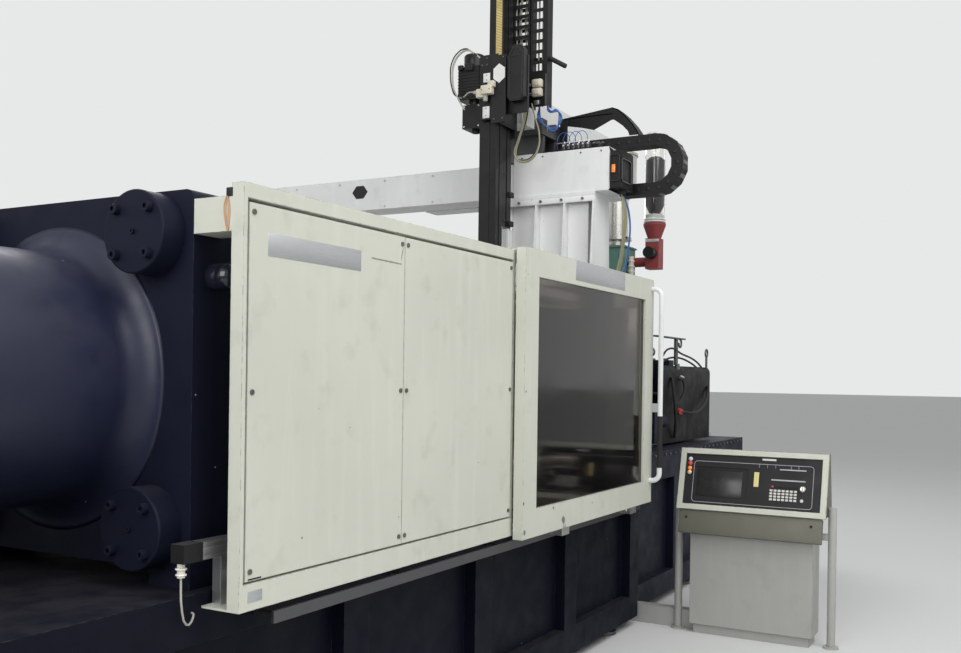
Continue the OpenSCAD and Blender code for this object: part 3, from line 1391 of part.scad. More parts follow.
arm_slot_d = 6;
wrist_z = arm_z0 - 70;
wrist_pin_r = 20;
lug_t = 16;
module robot_arm() {
    lug_y = stage_b / 2;
    belt_y = [arm_y - 40, arm_y + 8];
    stage_lo = stage_y - stage_b / 2;
    color(BLACK) difference() {
        union() {
            slab([arm_x0, arm_x1], [arm_y - arm_b / 2, arm_y + arm_b / 2], [arm_foot_z, arm_z1]);
            slab([stage_x0, stage_x1], [stage_lo, stage_lo + stage_b], [arm_z0, stage_z1]);
            // rail between the two profiles
            slab([stage_x1 - 1, stage_x1 + 24], [stage_lo + 8, stage_lo + 44], [arm_z0 + 20, stage_z1 - 20]);
            translate([0, stage_y, 0]) for (y = [[-lug_y, -lug_y + lug_t], [lug_y - lug_t, lug_y]]) {
                slab([stage_x - 40, stage_x + 40], y, [wrist_z, arm_z0 + 1]);
                rod_y(stage_x, y, wrist_z, 40);
            }
        }
        // belt groove, step of the front face, cable grooves in the sides
        slab([arm_x0 - 1, arm_x0 + arm_slot_d], belt_y, [stage_z1, arm_z1 + 1]);
        slab([stage_x0 - 1, stage_x0 + 5], [stage_lo + 10, stage_lo + 50], [arm_z0 - 1, stage_z1 + 1]);
        slab([stage_x0 + 36, stage_x0 + 48], [stage_lo - 1, stage_lo + 8], [arm_z0 - 1, stage_z1 + 1]);
        for (y = [arm_y - arm_b / 2 - 1, arm_y + arm_b / 2 - 8]) slab([arm_x0 + 58, arm_x0 + 72], [y, y + 9],
            [arm_foot_z - 1, arm_z1 + 1]);
        rod_y(stage_x, [stage_lo - 1, stage_lo + stage_b + 1], wrist_z, wrist_pin_r + 0.05);
    }
}
module robot_wrist() {
    hub_half = stage_b / 2 - lug_t - slide_gap;
    plate_z = wrist_z - 130;
    color(IRON) translate([0, stage_y, 0]) difference() {
        union() {
            rod_y(stage_x, [-hub_half, hub_half], wrist_z, 34);
            rod_y(stage_x, [-stage_b / 2, stage_b / 2], wrist_z, wrist_pin_r);
            slab([stage_x - 30, stage_x + 30], [-hub_half, hub_half], [plate_z + 15, wrist_z]);
            slab([stage_x - 90, stage_x + 90], [-80, 80], [plate_z, plate_z + 16]);
        }
        for (sx = [-1, 1], sy = [-1, 1]) rod_z(stage_x + sx * 70, sy * 60, [plate_z - 1, plate_z + 17], 4.5);
    }
}

// one energy chain link, open along local x
module chain_link() {
    wall = 9;
    difference() {
        cube([link_len - 0.6, link_w, link_h], center = true);
        cube([link_len + 1, link_w - 2 * wall, link_h - 2 * wall], center = true);
    }
}
run_r = chain_r - link_h / 2;
bend_n = 7;
upper_n = 13;
chain_end_y = chain_yc + upper_n * link_len + seat_gap;
lower_n = upper_n + 5;
module beam_chain() {
    x = chain_x0 + link_w / 2;
    color(BLACK) {
        for (i = [0 : upper_n - 1])
            translate([x, chain_yc + link_len * (i + 0.5), chain_zc + run_r]) rotate([0, 0,
                90]) chain_link();
        for (i = [0 : lower_n - 1])
            translate([x, chain_yc + link_len * (i + 0.5), chain_zc - run_r]) rotate([0, 0,
                90]) chain_link();
        for (i = [0 : bend_n - 1])
            translate([x, chain_yc, chain_zc]) rotate([(i + 0.5) * 180 / bend_n, 0, 0])
                translate([0, 0, run_r]) rotate([0, 0, 90]) bend_link();
    }
}
// link of the bend, its sides narrowing inwards
module bend_link() {
    wall = 9;
    a = 90 / bend_n - 0.08;
    difference() {
        translate([0, link_w / 2, 0]) rotate([90, 0, 0]) linear_extrude(link_w) polygon([
            [-(run_r - link_h / 2) * tan(a), -link_h / 2], [(run_r - link_h / 2) * tan(a), -link_h / 2],
            [(run_r + link_h / 2) * tan(a), link_h / 2], [-(run_r + link_h / 2) * tan(a), link_h / 2]]);
        cube([link_len * 2, link_w - 2 * wall, link_h - 2 * wall], center = true);
    }
}

// chain of the vertical axis, beside a perforated ladder
ladder_z1 = arm_z1 - 210;
ladder_pitch = 66;
module ladder_link() {
    wall = 11;
    difference() {
        cube([column_w, link_h, ladder_pitch - 0.6], center = true);
        cube([column_w - 2 * wall, link_h - 16, ladder_pitch], center = true);
        cube([column_w - 2 * wall, link_h + 1, ladder_pitch - 22], center = true);
    }
}
module arm_chain() {
    x0 = head_x0 + head_t;
    n = floor((ladder_z1 - kick_z1) / ladder_pitch);
    rung_z = kick_z1 + seat_gap + ladder_pitch * (n % 2);
    holes = floor((ladder_z1 - ladder_z0 - 40) / ladder_pitch);
    color(BLACK) {
        for (i = [0 : n - 1]) translate([x0 + 4.3 + link_h / 2, column_y + column_w / 2,
            kick_z1 + seat_gap + ladder_pitch * (i + 0.5)]) rotate([0, 0, 90]) ladder_link();
        difference() {
            slab([x0, x0 + link_h], [ladder_y0, ladder_y0 + ladder_w], [ladder_z0, ladder_z1]);
            slab([x0 + 4, x0 + link_h + 1], [ladder_y0 + 4, ladder_y0 + ladder_w - 4],
                [ladder_z0 - 1, ladder_z1 + 1]);
            for (i = [2 : holes - 1]) slab([x0 - 1, x0 + 5], [ladder_y0 + 31, ladder_y0 + 102],
                [ladder_z0 + 30 + i * ladder_pitch, ladder_z0 + 74 + i * ladder_pitch]);
        }
        // straps behind, from the ladder to the chain
        for (i = [2, n - 3]) slab([x0 + link_h - 1, x0 + link_h + 4.3], [ladder_y0 + 1, column_y + column_w],
            [rung_z + ladder_pitch * i - 9, rung_z + ladder_pitch * i + 9]);
    }
}

place() clamp_bed();
place() injection_bed();
place() levelling_feet();
place() slide_rails();
place() cylinder_platen();
place() clamp_cylinder();
place() cylinder_cover();
place() tie_bars();
place() tie_bar_nuts();
place() machine_screws();
place() fixed_platen();
place() moving_platen();
place() clamp_ram();
place() ejector_cylinder();
place() ejector_rod();
place() guard_frame();
place() guard_panel_rear();
place() guard_panel_front();
place() guard_screws();
place() door_frame();
place() door_window();
place() door_handle();
place() door_shoes();
place() door_rails();
place() rear_guard();
place() rear_door();
place() rear_window();
place() position_sensor();
place() sensor_cable();
place() carriage();
place() barrel();
place() heater_bands();
place() nozzle();
place() barrel_cover();
place() injection_cylinders();
place() carriage_rods();
place() crosshead();
place() screw_motor();
place() screw();
place() purge_guard();
place() purge_guard_mount();
place() hopper_base();
place() hopper_gate();
place() hopper();
place() dosing_unit();
place() sight_tube();
place() pump_motor();
place() console_stand();
place() console_housing();
place() console_bezel();
place() console_fascia();
place() key_switch();
place() robot_pedestal();
place() robot_beam();
place() robot_carriage();
place() kick_beam();
place() robot_arm();
place() robot_wrist();
place() beam_chain();
place() arm_chain();
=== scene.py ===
"""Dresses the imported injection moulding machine: finishes, trim, wiring, camera and studio."""

import json
import math

import bmesh
import bpy
from mathutils import Matrix, Vector

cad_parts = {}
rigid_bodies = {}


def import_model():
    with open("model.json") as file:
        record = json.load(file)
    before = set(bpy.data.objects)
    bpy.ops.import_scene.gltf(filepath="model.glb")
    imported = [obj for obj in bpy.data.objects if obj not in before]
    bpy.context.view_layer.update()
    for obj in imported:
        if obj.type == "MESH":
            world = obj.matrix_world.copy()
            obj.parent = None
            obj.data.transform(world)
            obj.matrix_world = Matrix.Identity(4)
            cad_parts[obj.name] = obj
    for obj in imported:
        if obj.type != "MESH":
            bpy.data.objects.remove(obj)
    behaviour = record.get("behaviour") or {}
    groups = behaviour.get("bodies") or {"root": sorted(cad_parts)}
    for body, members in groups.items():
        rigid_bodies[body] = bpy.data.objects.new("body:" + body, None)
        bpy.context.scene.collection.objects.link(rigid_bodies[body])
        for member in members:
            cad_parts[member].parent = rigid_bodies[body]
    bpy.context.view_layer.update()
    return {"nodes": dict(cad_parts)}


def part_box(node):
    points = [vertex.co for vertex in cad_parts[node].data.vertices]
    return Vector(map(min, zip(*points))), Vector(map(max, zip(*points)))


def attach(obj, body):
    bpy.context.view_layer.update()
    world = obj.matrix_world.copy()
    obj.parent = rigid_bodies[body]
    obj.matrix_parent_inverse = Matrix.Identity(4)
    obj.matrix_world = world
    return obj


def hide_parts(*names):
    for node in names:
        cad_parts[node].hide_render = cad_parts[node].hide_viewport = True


bl_info = {
    "name": "Injection Moulding Machine Dressing",
    "version": (1, 0, 0),
    "blender": (4, 5, 0),
    "location": "3D Viewport > Sidebar > Moulding Machine",
    "description": "Gives the machine's solids their finishes, trim, wiring and studio",
    "category": "Object",
}

for leftover in list(bpy.data.objects):
    bpy.data.objects.remove(leftover)
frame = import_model()
NODES = frame["nodes"]
MM = 0.001
PLATEN_LOW, PLATEN_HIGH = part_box("cylinder_platen")
# The machine's own origin: rear face of the cylinder platen, centre plane, floor.
DATUM = Vector((PLATEN_LOW.x, (PLATEN_LOW.y + PLATEN_HIGH.y) / 2, 0.0))

# Planes of the machine, in millimetres from the datum, as part.scad has them.
GUARD_FRONT = -856.0
HANDLE_R = 15.0
DOOR_FRONT = -920.0
BEAM_FACE_X = 3568.0
APRON_X = 3558.0
CONSOLE_EDGE = (3930.0, -1432.0, 795.0)
CONSOLE_LEAN = math.radians(15.0)
FASCIA_OUT = 12.0


def at(x, y, z):
    """A point on the machine's own axes, in millimetres, as a place in the frame."""
    return DATUM + Vector((x, y, z)) * MM


# Finishes of the solids and of the new pieces.


class Finish:
    """Builds one procedural finish. Its patterns lie on the piece's own coordinates."""

    def __init__(self, name, colour, roughness, metallic=0.0, shine=0.5):
        self.material = bpy.data.materials.new(name)
        self.material.use_nodes = True
        self.tree = self.material.node_tree
        self.surface = self.tree.nodes["Principled BSDF"]
        self.surface.inputs["Metallic"].default_value = metallic
        self.surface.inputs["Specular IOR Level"].default_value = shine
        self.place = self.add("ShaderNodeTexCoord").outputs["Object"]
        self.form = self.add("ShaderNodeNewGeometry")
        self.colour = self.plain(colour)
        self.gloss = None
        self.roughness = roughness
        self.relief = None

    def add(self, kind, **settings):
        """Adds a node."""
        node = self.tree.nodes.new(kind)
        for name, value in settings.items():
            setattr(node, name, value)
        return node

    def feed(self, source, socket):
        """Links a socket, or sets it if the source is a number or a colour."""
        if isinstance(source, bpy.types.NodeSocket):
            self.tree.links.new(source, socket)
        else:
            socket.default_value = source

    @staticmethod
    def plain(colour):
        """The colour with its fourth part."""
        return (*colour, 1.0) if len(colour) == 3 else colour

    def math(self, operation, first, second):
        """One sum, product or comparison."""
        node = self.add("ShaderNodeMath", operation=operation)
        self.feed(first, node.inputs[0])
        self.feed(second, node.inputs[1])
        return node.outputs[0]

    def between(self, value, low, high, start=0.0, end=1.0):
        """Value from low to high, turned into start to end."""
        node = self.add("ShaderNodeMapRange")
        for source, socket in zip((value, low, high, start, end), node.inputs):
            self.feed(source, socket)
        return node.outputs[0]

    def spread(self, stretch):
        """The coordinates, squeezed by a factor on each axis."""
        node = self.add("ShaderNodeMapping")
        self.feed(self.place, node.inputs["Vector"])
        node.inputs["Scale"].default_value = stretch
        return node.outputs[0]

    def noise(self, scale, detail=3.0, stretch=(1.0, 1.0, 1.0)):
        """Cloudy pattern from 0 to 1, scale in cycles a metre."""
        node = self.add("ShaderNodeTexNoise")
        self.feed(self.spread(stretch), node.inputs["Vector"])
        node.inputs["Scale"].default_value = scale
        node.inputs["Detail"].default_value = detail
        return node.outputs[0]

    def specks(self, scale, size, share, stretch=(1.0, 1.0, 1.0)):
        """Scattered spots: 1 inside a spot. Share is how many of the cells have one."""
        node = self.add("ShaderNodeTexVoronoi")
        self.feed(self.spread(stretch), node.inputs["Vector"])
        node.inputs["Scale"].default_value = scale
        chosen = self.add("ShaderNodeSeparateColor")
        self.feed(node.outputs["Color"], chosen.inputs[0])
        inside = self.between(node.outputs["Distance"], size, size * 0.8)
        return self.math("MULTIPLY", inside, self.math("GREATER_THAN", chosen.outputs[0], 1.0 - share))

    def near(self, centre, reach, ragged=0.5):
        """1 round a point of the frame, with a ragged border."""
        away = self.add("ShaderNodeVectorMath", operation="DISTANCE")
        self.feed(self.place, away.inputs[0])
        away.inputs[1].default_value = centre
        rough = self.math("MULTIPLY", self.noise(60.0, 4.0), reach * ragged * 2)
        return self.between(self.math("ADD", away.outputs["Value"], rough), reach * 1.3, reach)

    def stroke(self, start, end, width):
        """1 along a scratch in an upright plane, between two points of the frame."""
        parts = self.add("ShaderNodeSeparateXYZ")
        self.feed(self.place, parts.inputs[0])
        across, along = (0, 2) if abs(end[2] - start[2]) > abs(end[0] - start[0]) else (2, 0)
        slope = (end[across] - start[across]) / (end[along] - start[along])
        line = self.between(parts.outputs[along], start[along], end[along], start[across], end[across])
        away = self.math("ABSOLUTE", self.math("SUBTRACT", parts.outputs[across], line), 0.0)
        wobble = self.math("MULTIPLY", self.noise(45.0, 3.0), width * abs(1.0 + slope * slope) ** 0.5)
        low, high = sorted((start[along], end[along]))
        inside = self.math("MULTIPLY", self.math("GREATER_THAN", parts.outputs[along], low),
                           self.math("LESS_THAN", parts.outputs[along], high))
        return self.math("MULTIPLY", inside, self.math("LESS_THAN", away, wobble))

    def facing_up(self, low=0.75, high=0.98):
        """1 where the surface faces up."""
        parts = self.add("ShaderNodeSeparateXYZ")
        self.feed(self.form.outputs["Normal"], parts.inputs[0])
        return self.between(parts.outputs[2], low, high)

    def rounded(self, radius):
        """Normals rounded over the edges, and 1 along those edges."""
        soft = self.add("ShaderNodeBevel", samples=4)
        soft.inputs["Radius"].default_value = radius
        turn = self.add("ShaderNodeVectorMath", operation="DOT_PRODUCT")
        self.feed(soft.outputs[0], turn.inputs[0])
        self.feed(self.form.outputs["Normal"], turn.inputs[1])
        return soft.outputs[0], self.between(turn.outputs["Value"], 0.99, 0.86)

    def layer(self, factor, colour):
        """Lays a colour over what is there."""
        node = self.add("ShaderNodeMix", data_type="RGBA")
        self.feed(factor, node.inputs[0])
        self.feed(self.colour, node.inputs[6])
        self.feed(self.plain(colour), node.inputs[7])
        self.colour = node.outputs[2]

    def bump(self, height, strength, distance, normal=None):
        """Relief of a height pattern, distance in metres."""
        node = self.add("ShaderNodeBump")
        node.inputs["Strength"].default_value = strength
        node.inputs["Distance"].default_value = distance
        self.feed(height, node.inputs["Height"])
        source = normal or self.relief
        if source:
            self.feed(source, node.inputs["Normal"])
        self.relief = node.outputs[0]

    def done(self):
        """Links what was built to the surface."""
        self.feed(self.colour, self.surface.inputs["Base Color"])
        self.feed(self.gloss if self.gloss else self.roughness, self.surface.inputs["Roughness"])
        if self.relief:
            self.feed(self.relief, self.surface.inputs["Normal"])
        return self.material


def tinted(colour, factor):
    """The colour made lighter or darker."""
    return tuple(min(1.0, part * factor) for part in colour[:3])


def darker(first, second):
    """The lower of two colours, part by part."""
    return tuple(min(pair) for pair in zip(first, second))


def paint(name, colour, worn, roughness=0.42, dust=0.25, specks=0.05, speck_colour=None, patches=(),
          strokes=(), shine=0.5, chips=1.0):
    """Sprayed machine paint: orange peel, cloudy tone, rubbed edges, specks and dust."""
    made = Finish(name, colour, roughness, shine=shine)
    normal, edges = made.rounded(0.004)
    tone = made.noise(1.3, 4.0)
    made.layer(made.between(tone, 0.35, 0.75, 0.0, 0.5), tinted(colour, 0.80))
    streaks = made.noise(3.0, 3.0, (6.0, 6.0, 0.5))
    made.layer(made.between(streaks, 0.52, 0.80, 0.0, 0.22), tinted(colour, 1.25))
    dirt = made.noise(9.0, 5.0)
    made.layer(made.between(dirt, 0.58, 0.80, 0.0, 0.16), darker((0.16, 0.14, 0.11), tinted(colour, 0.6)))
    spots = made.specks(22.0, 0.07, specks)
    made.layer(spots, speck_colour or worn)
    made.layer(made.math("MULTIPLY", made.facing_up(), made.between(dirt, 0.25, 0.7, dust / 4, dust)),
               (0.42, 0.41, 0.39))
    chipped = made.between(made.noise(34.0, 5.0), 0.50, 0.62)
    made.layer(made.math("MULTIPLY", edges, made.math("MULTIPLY", chipped, chips)), worn)
    for centre, reach, tint in patches:
        made.layer(made.math("MULTIPLY", made.near(centre, reach), 0.85), tint)
    for start, end, width in strokes:
        made.layer(made.math("MULTIPLY", made.stroke(start, end, width), 0.7), worn)
    made.gloss = made.between(dirt, 0.3, 0.7, roughness - 0.06, roughness + 0.14)
    made.bump(made.noise(420.0, 2.0), 0.10, 0.0006, normal)
    return made.done()


def metal(name, colour, roughness, stretch, tarnish=0.3, oil=(0.10, 0.08, 0.06)):
    """Machined metal: fine tool lines along one direction, patches of oil film, and a painted highlight along
    the edges.
    """
    made = Finish(name, colour, roughness, metallic=1.0)
    normal, edges = made.rounded(0.0015)
    lines = made.noise(90.0, 3.0, stretch)
    made.layer(made.between(lines, 0.35, 0.7, 0.0, 0.35), tinted(colour, 0.72))
    film = made.noise(6.0, 4.0)
    made.layer(made.between(film, 0.55, 0.8, 0.0, tarnish), oil)
    # Lighter along every edge: painted highlight, standing in for light caught on the edges.
    made.layer(edges, tinted(colour, 1.3))
    made.gloss = made.between(lines, 0.3, 0.7, roughness - 0.07, roughness + 0.10)
    made.bump(lines, 0.12, 0.0003, normal)
    return made.done()


def moulded(name, colour, roughness=0.5, grain=700.0, dust=0.2, shine=0.4):
    """Moulded plastic or rubber: fine grain, dusty tops, and a painted highlight along the edges."""
    made = Finish(name, colour, roughness, shine=shine)
    normal, edges = made.rounded(0.002)
    tone = made.noise(8.0, 4.0)
    made.layer(made.between(tone, 0.4, 0.75, 0.0, 0.4), tinted(colour, 1.7))
    made.layer(made.math("MULTIPLY", made.facing_up(), made.between(tone, 0.3, 0.7, 0.05, dust)),
               (0.40, 0.39, 0.37))
    # Paler along every edge: painted highlight, standing in for light caught on the edges.
    made.layer(made.math("MULTIPLY", edges, 0.35), tinted(colour, 3.0))
    made.gloss = made.between(tone, 0.3, 0.7, roughness - 0.08, roughness + 0.12)
    made.bump(made.noise(grain, 2.0), 0.15, 0.0003, normal)
    return made.done()


def clear(name, colour, roughness, smear, haze=0.12):
    """Clear or smoked sheet, with wiping marks and a film of dust."""
    made = Finish(name, colour, roughness)
    made.surface.inputs["Transmission Weight"].default_value = 1.0
    made.surface.inputs["IOR"].default_value = 1.38
    wiped = made.noise(2.6, 5.0, (1.0, 1.0, 2.4))
    made.layer(made.between(wiped, 0.5, 0.8, 0.0, haze), smear)
    made.gloss = made.between(wiped, 0.35, 0.8, roughness, roughness + 0.12)
    made.bump(made.noise(5.0, 2.0), 0.05, 0.001)
    return made.done()


def ribbed(name, colour, worn, pitch, axis, roughness=0.6):
    """Toothed belt or serrated grip: bars across the length."""
    made = Finish(name, colour, roughness)
    bars = made.add("ShaderNodeTexWave", wave_type="BANDS", bands_direction=axis)
    made.feed(made.place, bars.inputs["Vector"])
    made.feed(math.tau / (20.0 * pitch), bars.inputs["Scale"])
    made.layer(made.between(bars.outputs["Fac"], 0.45, 0.6), worn)
    made.layer(made.between(made.noise(14.0, 4.0), 0.55, 0.8, 0.0, 0.4), tinted(worn, 0.7))
    made.gloss = made.between(bars.outputs["Fac"], 0.3, 0.7, roughness - 0.1, roughness + 0.1)
    made.bump(bars.outputs["Fac"], 0.6, 0.001)
    return made.done()


def granules(name, colour, pale):
    """Heap of plastic granulate."""
    made = Finish(name, colour, 0.45)
    cells = made.add("ShaderNodeTexVoronoi")
    made.feed(made.place, cells.inputs["Vector"])
    cells.inputs["Scale"].default_value = 260.0
    # Paler towards each pellet's middle and darker towards its border: painted highlight on the pellets and
    # painted shade in the gaps between them.
    made.layer(made.between(cells.outputs["Distance"], 0.1, 0.6, 0.5, 0.0), pale)
    made.gloss = made.between(cells.outputs["Distance"], 0.0, 0.6, 0.3, 0.7)
    made.bump(cells.outputs["Distance"], 0.9, 0.003)
    return made.done()


def lit(name, colour, glow):
    """Small lamp lens."""
    made = Finish(name, colour, 0.25)
    made.layer(made.between(made.noise(180.0, 2.0), 0.4, 0.7, 0.0, 0.4), tinted(colour, 0.6))
    made.surface.inputs["Emission Color"].default_value = (*colour, 1.0)
    made.surface.inputs["Emission Strength"].default_value = glow
    return made.done()


# Colour, roughness, stretch of the tool lines, tarnish and oil.
METALS = {
    "ground_steel": ((0.60, 0.60, 0.58), 0.30, (0.3, 4.0, 4.0)),
    "chrome_bar": ((0.66, 0.66, 0.66), 0.16, (0.1, 5.0, 5.0), 0.2),
    "dark_steel": ((0.13, 0.13, 0.135), 0.46, (2.0, 2.0, 2.0), 0.4),
    "stainless": ((0.58, 0.57, 0.53), 0.26, (4.0, 4.0, 0.6), 0.25),
    "aluminium_profile": ((0.62, 0.63, 0.65), 0.36, (0.2, 5.0, 5.0), 0.1),
    "screw_zinc": ((0.20, 0.19, 0.17), 0.30, (4.0, 4.0, 4.0), 0.8, (0.03, 0.03, 0.03)),
    "label_silver": ((0.55, 0.56, 0.57), 0.42, (0.2, 5.0, 5.0), 0.08),
}
# Colour, roughness, grain, dust and shine.
PLASTICS = {
    "black_anodised": ((0.009, 0.009, 0.0095), 0.34, 900.0, 0.05, 0.30),
    "black_plastic": ((0.008, 0.008, 0.009), 0.50, 700.0, 0.08, 0.25),
    "rubber": ((0.012, 0.012, 0.012), 0.7, 500.0),
    "cable_grey": ((0.36, 0.35, 0.31), 0.5, 400.0),
    "grey_cable": ((0.36, 0.35, 0.31), 0.5, 400.0),
    "cable_olive": ((0.26, 0.25, 0.16), 0.5, 400.0),
    "glossy_black": ((0.012, 0.012, 0.014), 0.16, 300.0, 0.04, 0.5),
    "clip_grey": ((0.10, 0.10, 0.11), 0.40),
    "tag_blue": ((0.02, 0.06, 0.30), 0.4),
    "beige_plastic": ((0.58, 0.53, 0.43), 0.45),
    "white_plastic": ((0.72, 0.72, 0.70), 0.4),
    "blue_hose": ((0.04, 0.10, 0.32), 0.35, 400.0, 0.05),
    "orange_strap": ((0.50, 0.22, 0.08), 0.6, 300.0, 0.05),
    "fascia_black": ((0.018, 0.018, 0.019), 0.45, 700.0, 0.05, 0.2),
    "dome_navy": ((0.010, 0.011, 0.020), 0.18, 300.0, 0.04, 0.5),
    "hood_black": ((0.004, 0.004, 0.005), 0.48, 500.0, 0.02, 0.1),
    "screen_glass": ((0.022, 0.021, 0.021), 0.22, 60.0, 0.0, 0.3),
    "outline_print": ((0.40, 0.41, 0.43), 0.5),
    "key_white": ((0.62, 0.61, 0.56), 0.45),
    "key_red": ((0.45, 0.05, 0.04), 0.4),
    "strip_yellow": ((0.72, 0.60, 0.26), 0.5),
}
# Colour, roughness, smear and haze.
SHEETS = {
    "smoked_window": ((0.17, 0.145, 0.12), 0.04, (0.08, 0.07, 0.06), 0.25),
    "clear_tube": ((0.90, 0.90, 0.88), 0.05, (0.6, 0.58, 0.54)),
}
# Colour and glow.
LAMPS = {
    "lamp_orange": ((0.85, 0.20, 0.03), 0.5),
    "lamp_red": ((0.60, 0.06, 0.05), 0.25),
    "lamp_white": ((0.62, 0.63, 0.70), 0.1),
    "lamp_yellow": ((0.70, 0.58, 0.28), 0.15),
}


class Finishes:
    """Every finish of the machine, made once and asked for by name."""

    made = {}

    @classmethod
    def recipes(cls):
        """Each maker, with the settings of its finishes by name."""
        hue = bpy.context.scene.machine_colours
        door_spots = (
            (at(2272, DOOR_FRONT, 911), 0.030, (0.12, 0.09, 0.06)),
            (at(2150, DOOR_FRONT, 985), 0.012, (0.10, 0.10, 0.09)),
            (at(1835, DOOR_FRONT, 905), 0.016, (0.06, 0.07, 0.09)),
            (at(1822, DOOR_FRONT, 1040), 0.011, (0.06, 0.07, 0.09)),
            (at(1832, DOOR_FRONT, 1560), 0.008, (0.06, 0.07, 0.09)),
            (at(2640, DOOR_FRONT, 960), 0.007, (0.10, 0.10, 0.09)),
        )
        guard_strokes = (
            (at(677, GUARD_FRONT, 2057), at(875, GUARD_FRONT, 2054), 0.006),
            (at(872, GUARD_FRONT, 2070), at(885, GUARD_FRONT, 2118), 0.005),
        )
        guard_spots = (
            (at(300, GUARD_FRONT, 1080), 0.006, (0.12, 0.11, 0.09)),
            (at(560, GUARD_FRONT, 1440), 0.004, (0.12, 0.11, 0.09)),
            (at(1500, GUARD_FRONT, 1250), 0.004, (0.12, 0.11, 0.09)),
            (at(120, GUARD_FRONT, 905), 0.010, (0.15, 0.14, 0.12)),
        )
        dirt, soot = (0.10, 0.09, 0.07), (0.12, 0.12, 0.12)
        paints = {
            "navy_paint": (hue.navy, (0.08, 0.09, 0.12), 0.50, 0.03, 0.02, (0.40, 0.40, 0.40), (), (), 0.12,
                           0.35),
            # The clamp bed's paint at 0.55 of the castings' colour: painted shade, a darker copy of the navy
            # paint for the bed front lying in shadow.
            "bed_paint": (tinted(hue.navy, 0.55), (0.08, 0.09, 0.11), 0.50, 0.05, 0.03, (0.30, 0.30, 0.30),
                          (), (), 0.10, 0.6),
            # The castings' colour made twice as light for the drum and the purge guard: painted light, a lit
            # copy of the navy paint standing in for the light on the drum's top.
            "drum_paint": (tinted(hue.navy, 2.0), (0.05, 0.05, 0.07), 0.38, 0.05, 0.02, (0.45, 0.45, 0.45),
                           (), (), 0.35, 0.0),
            "cream_paint": (hue.cream, (0.09, 0.09, 0.09), 0.46, 0.10, 0.02, dirt, (), (), 0.35),
            "panel_cream": (hue.cream, (0.10, 0.10, 0.10), 0.46, 0.10, 0.03, dirt, guard_spots, guard_strokes,
                            0.35, 0.5),
            "door_cream": (hue.cream, (0.08, 0.08, 0.09), 0.46, 0.10, 0.05, dirt, door_spots, (), 0.35),
            "white_paint": (hue.white, (0.30, 0.29, 0.27), 0.48, 0.10, 0.10, soot, (), (), 0.35),
            "white_sheet": (tinted(hue.white, 0.95), (0.3, 0.3, 0.3), 0.42, 0.10, 0.05, soot, (), (), 0.35),
            "green_paint": ((0.085, 0.20, 0.155), (0.25, 0.27, 0.25), 0.5, 0.15),
            "red_paint": ((0.24, 0.035, 0.035), (0.35, 0.30, 0.28), 0.5, 0.2),
            "grey_paint": ((0.150, 0.150, 0.118), (0.40, 0.39, 0.36), 0.5, 0.15, 0.05, None, (), (), 0.3),
            "post_grey": ((0.40, 0.40, 0.38), (0.2, 0.2, 0.2), 0.45, 0.15),
        }
        belts = {"belt": ((0.72, 0.58, 0.24), (0.28, 0.20, 0.07), 0.010, "Z")}
        heaps = {"granulate": ((0.016, 0.016, 0.018), (0.05, 0.05, 0.055))}
        return {paint: paints, metal: METALS, moulded: PLASTICS, clear: SHEETS, ribbed: belts,
                granules: heaps, lit: LAMPS}

    @classmethod
    def get(cls, name):
        """The finish of that name."""
        if name not in cls.made:
            maker, table = next(pair for pair in cls.recipes().items() if name in pair[1])
            cls.made[name] = maker(name, *table[name])
        return cls.made[name]


def dress(finish, *nodes):
    """Gives whole CAD nodes their finish."""
    for node in nodes:
        NODES[node].data.materials.clear()
        NODES[node].data.materials.append(Finishes.get(finish))


def dress_parts(node, finish, *regions):
    """Gives a CAD node a finish, and others inside boxes of the machine's millimetres."""
    dress(finish, node)
    mesh = NODES[node].data
    for index, (other, low, high) in enumerate(regions, 1):
        mesh.materials.append(Finishes.get(other))
        a, b = at(*low), at(*high)
        for face in mesh.polygons:
            if all(a[k] <= face.center[k] <= b[k] for k in range(3)):
                face.material_index = index


# Makers of new pieces.


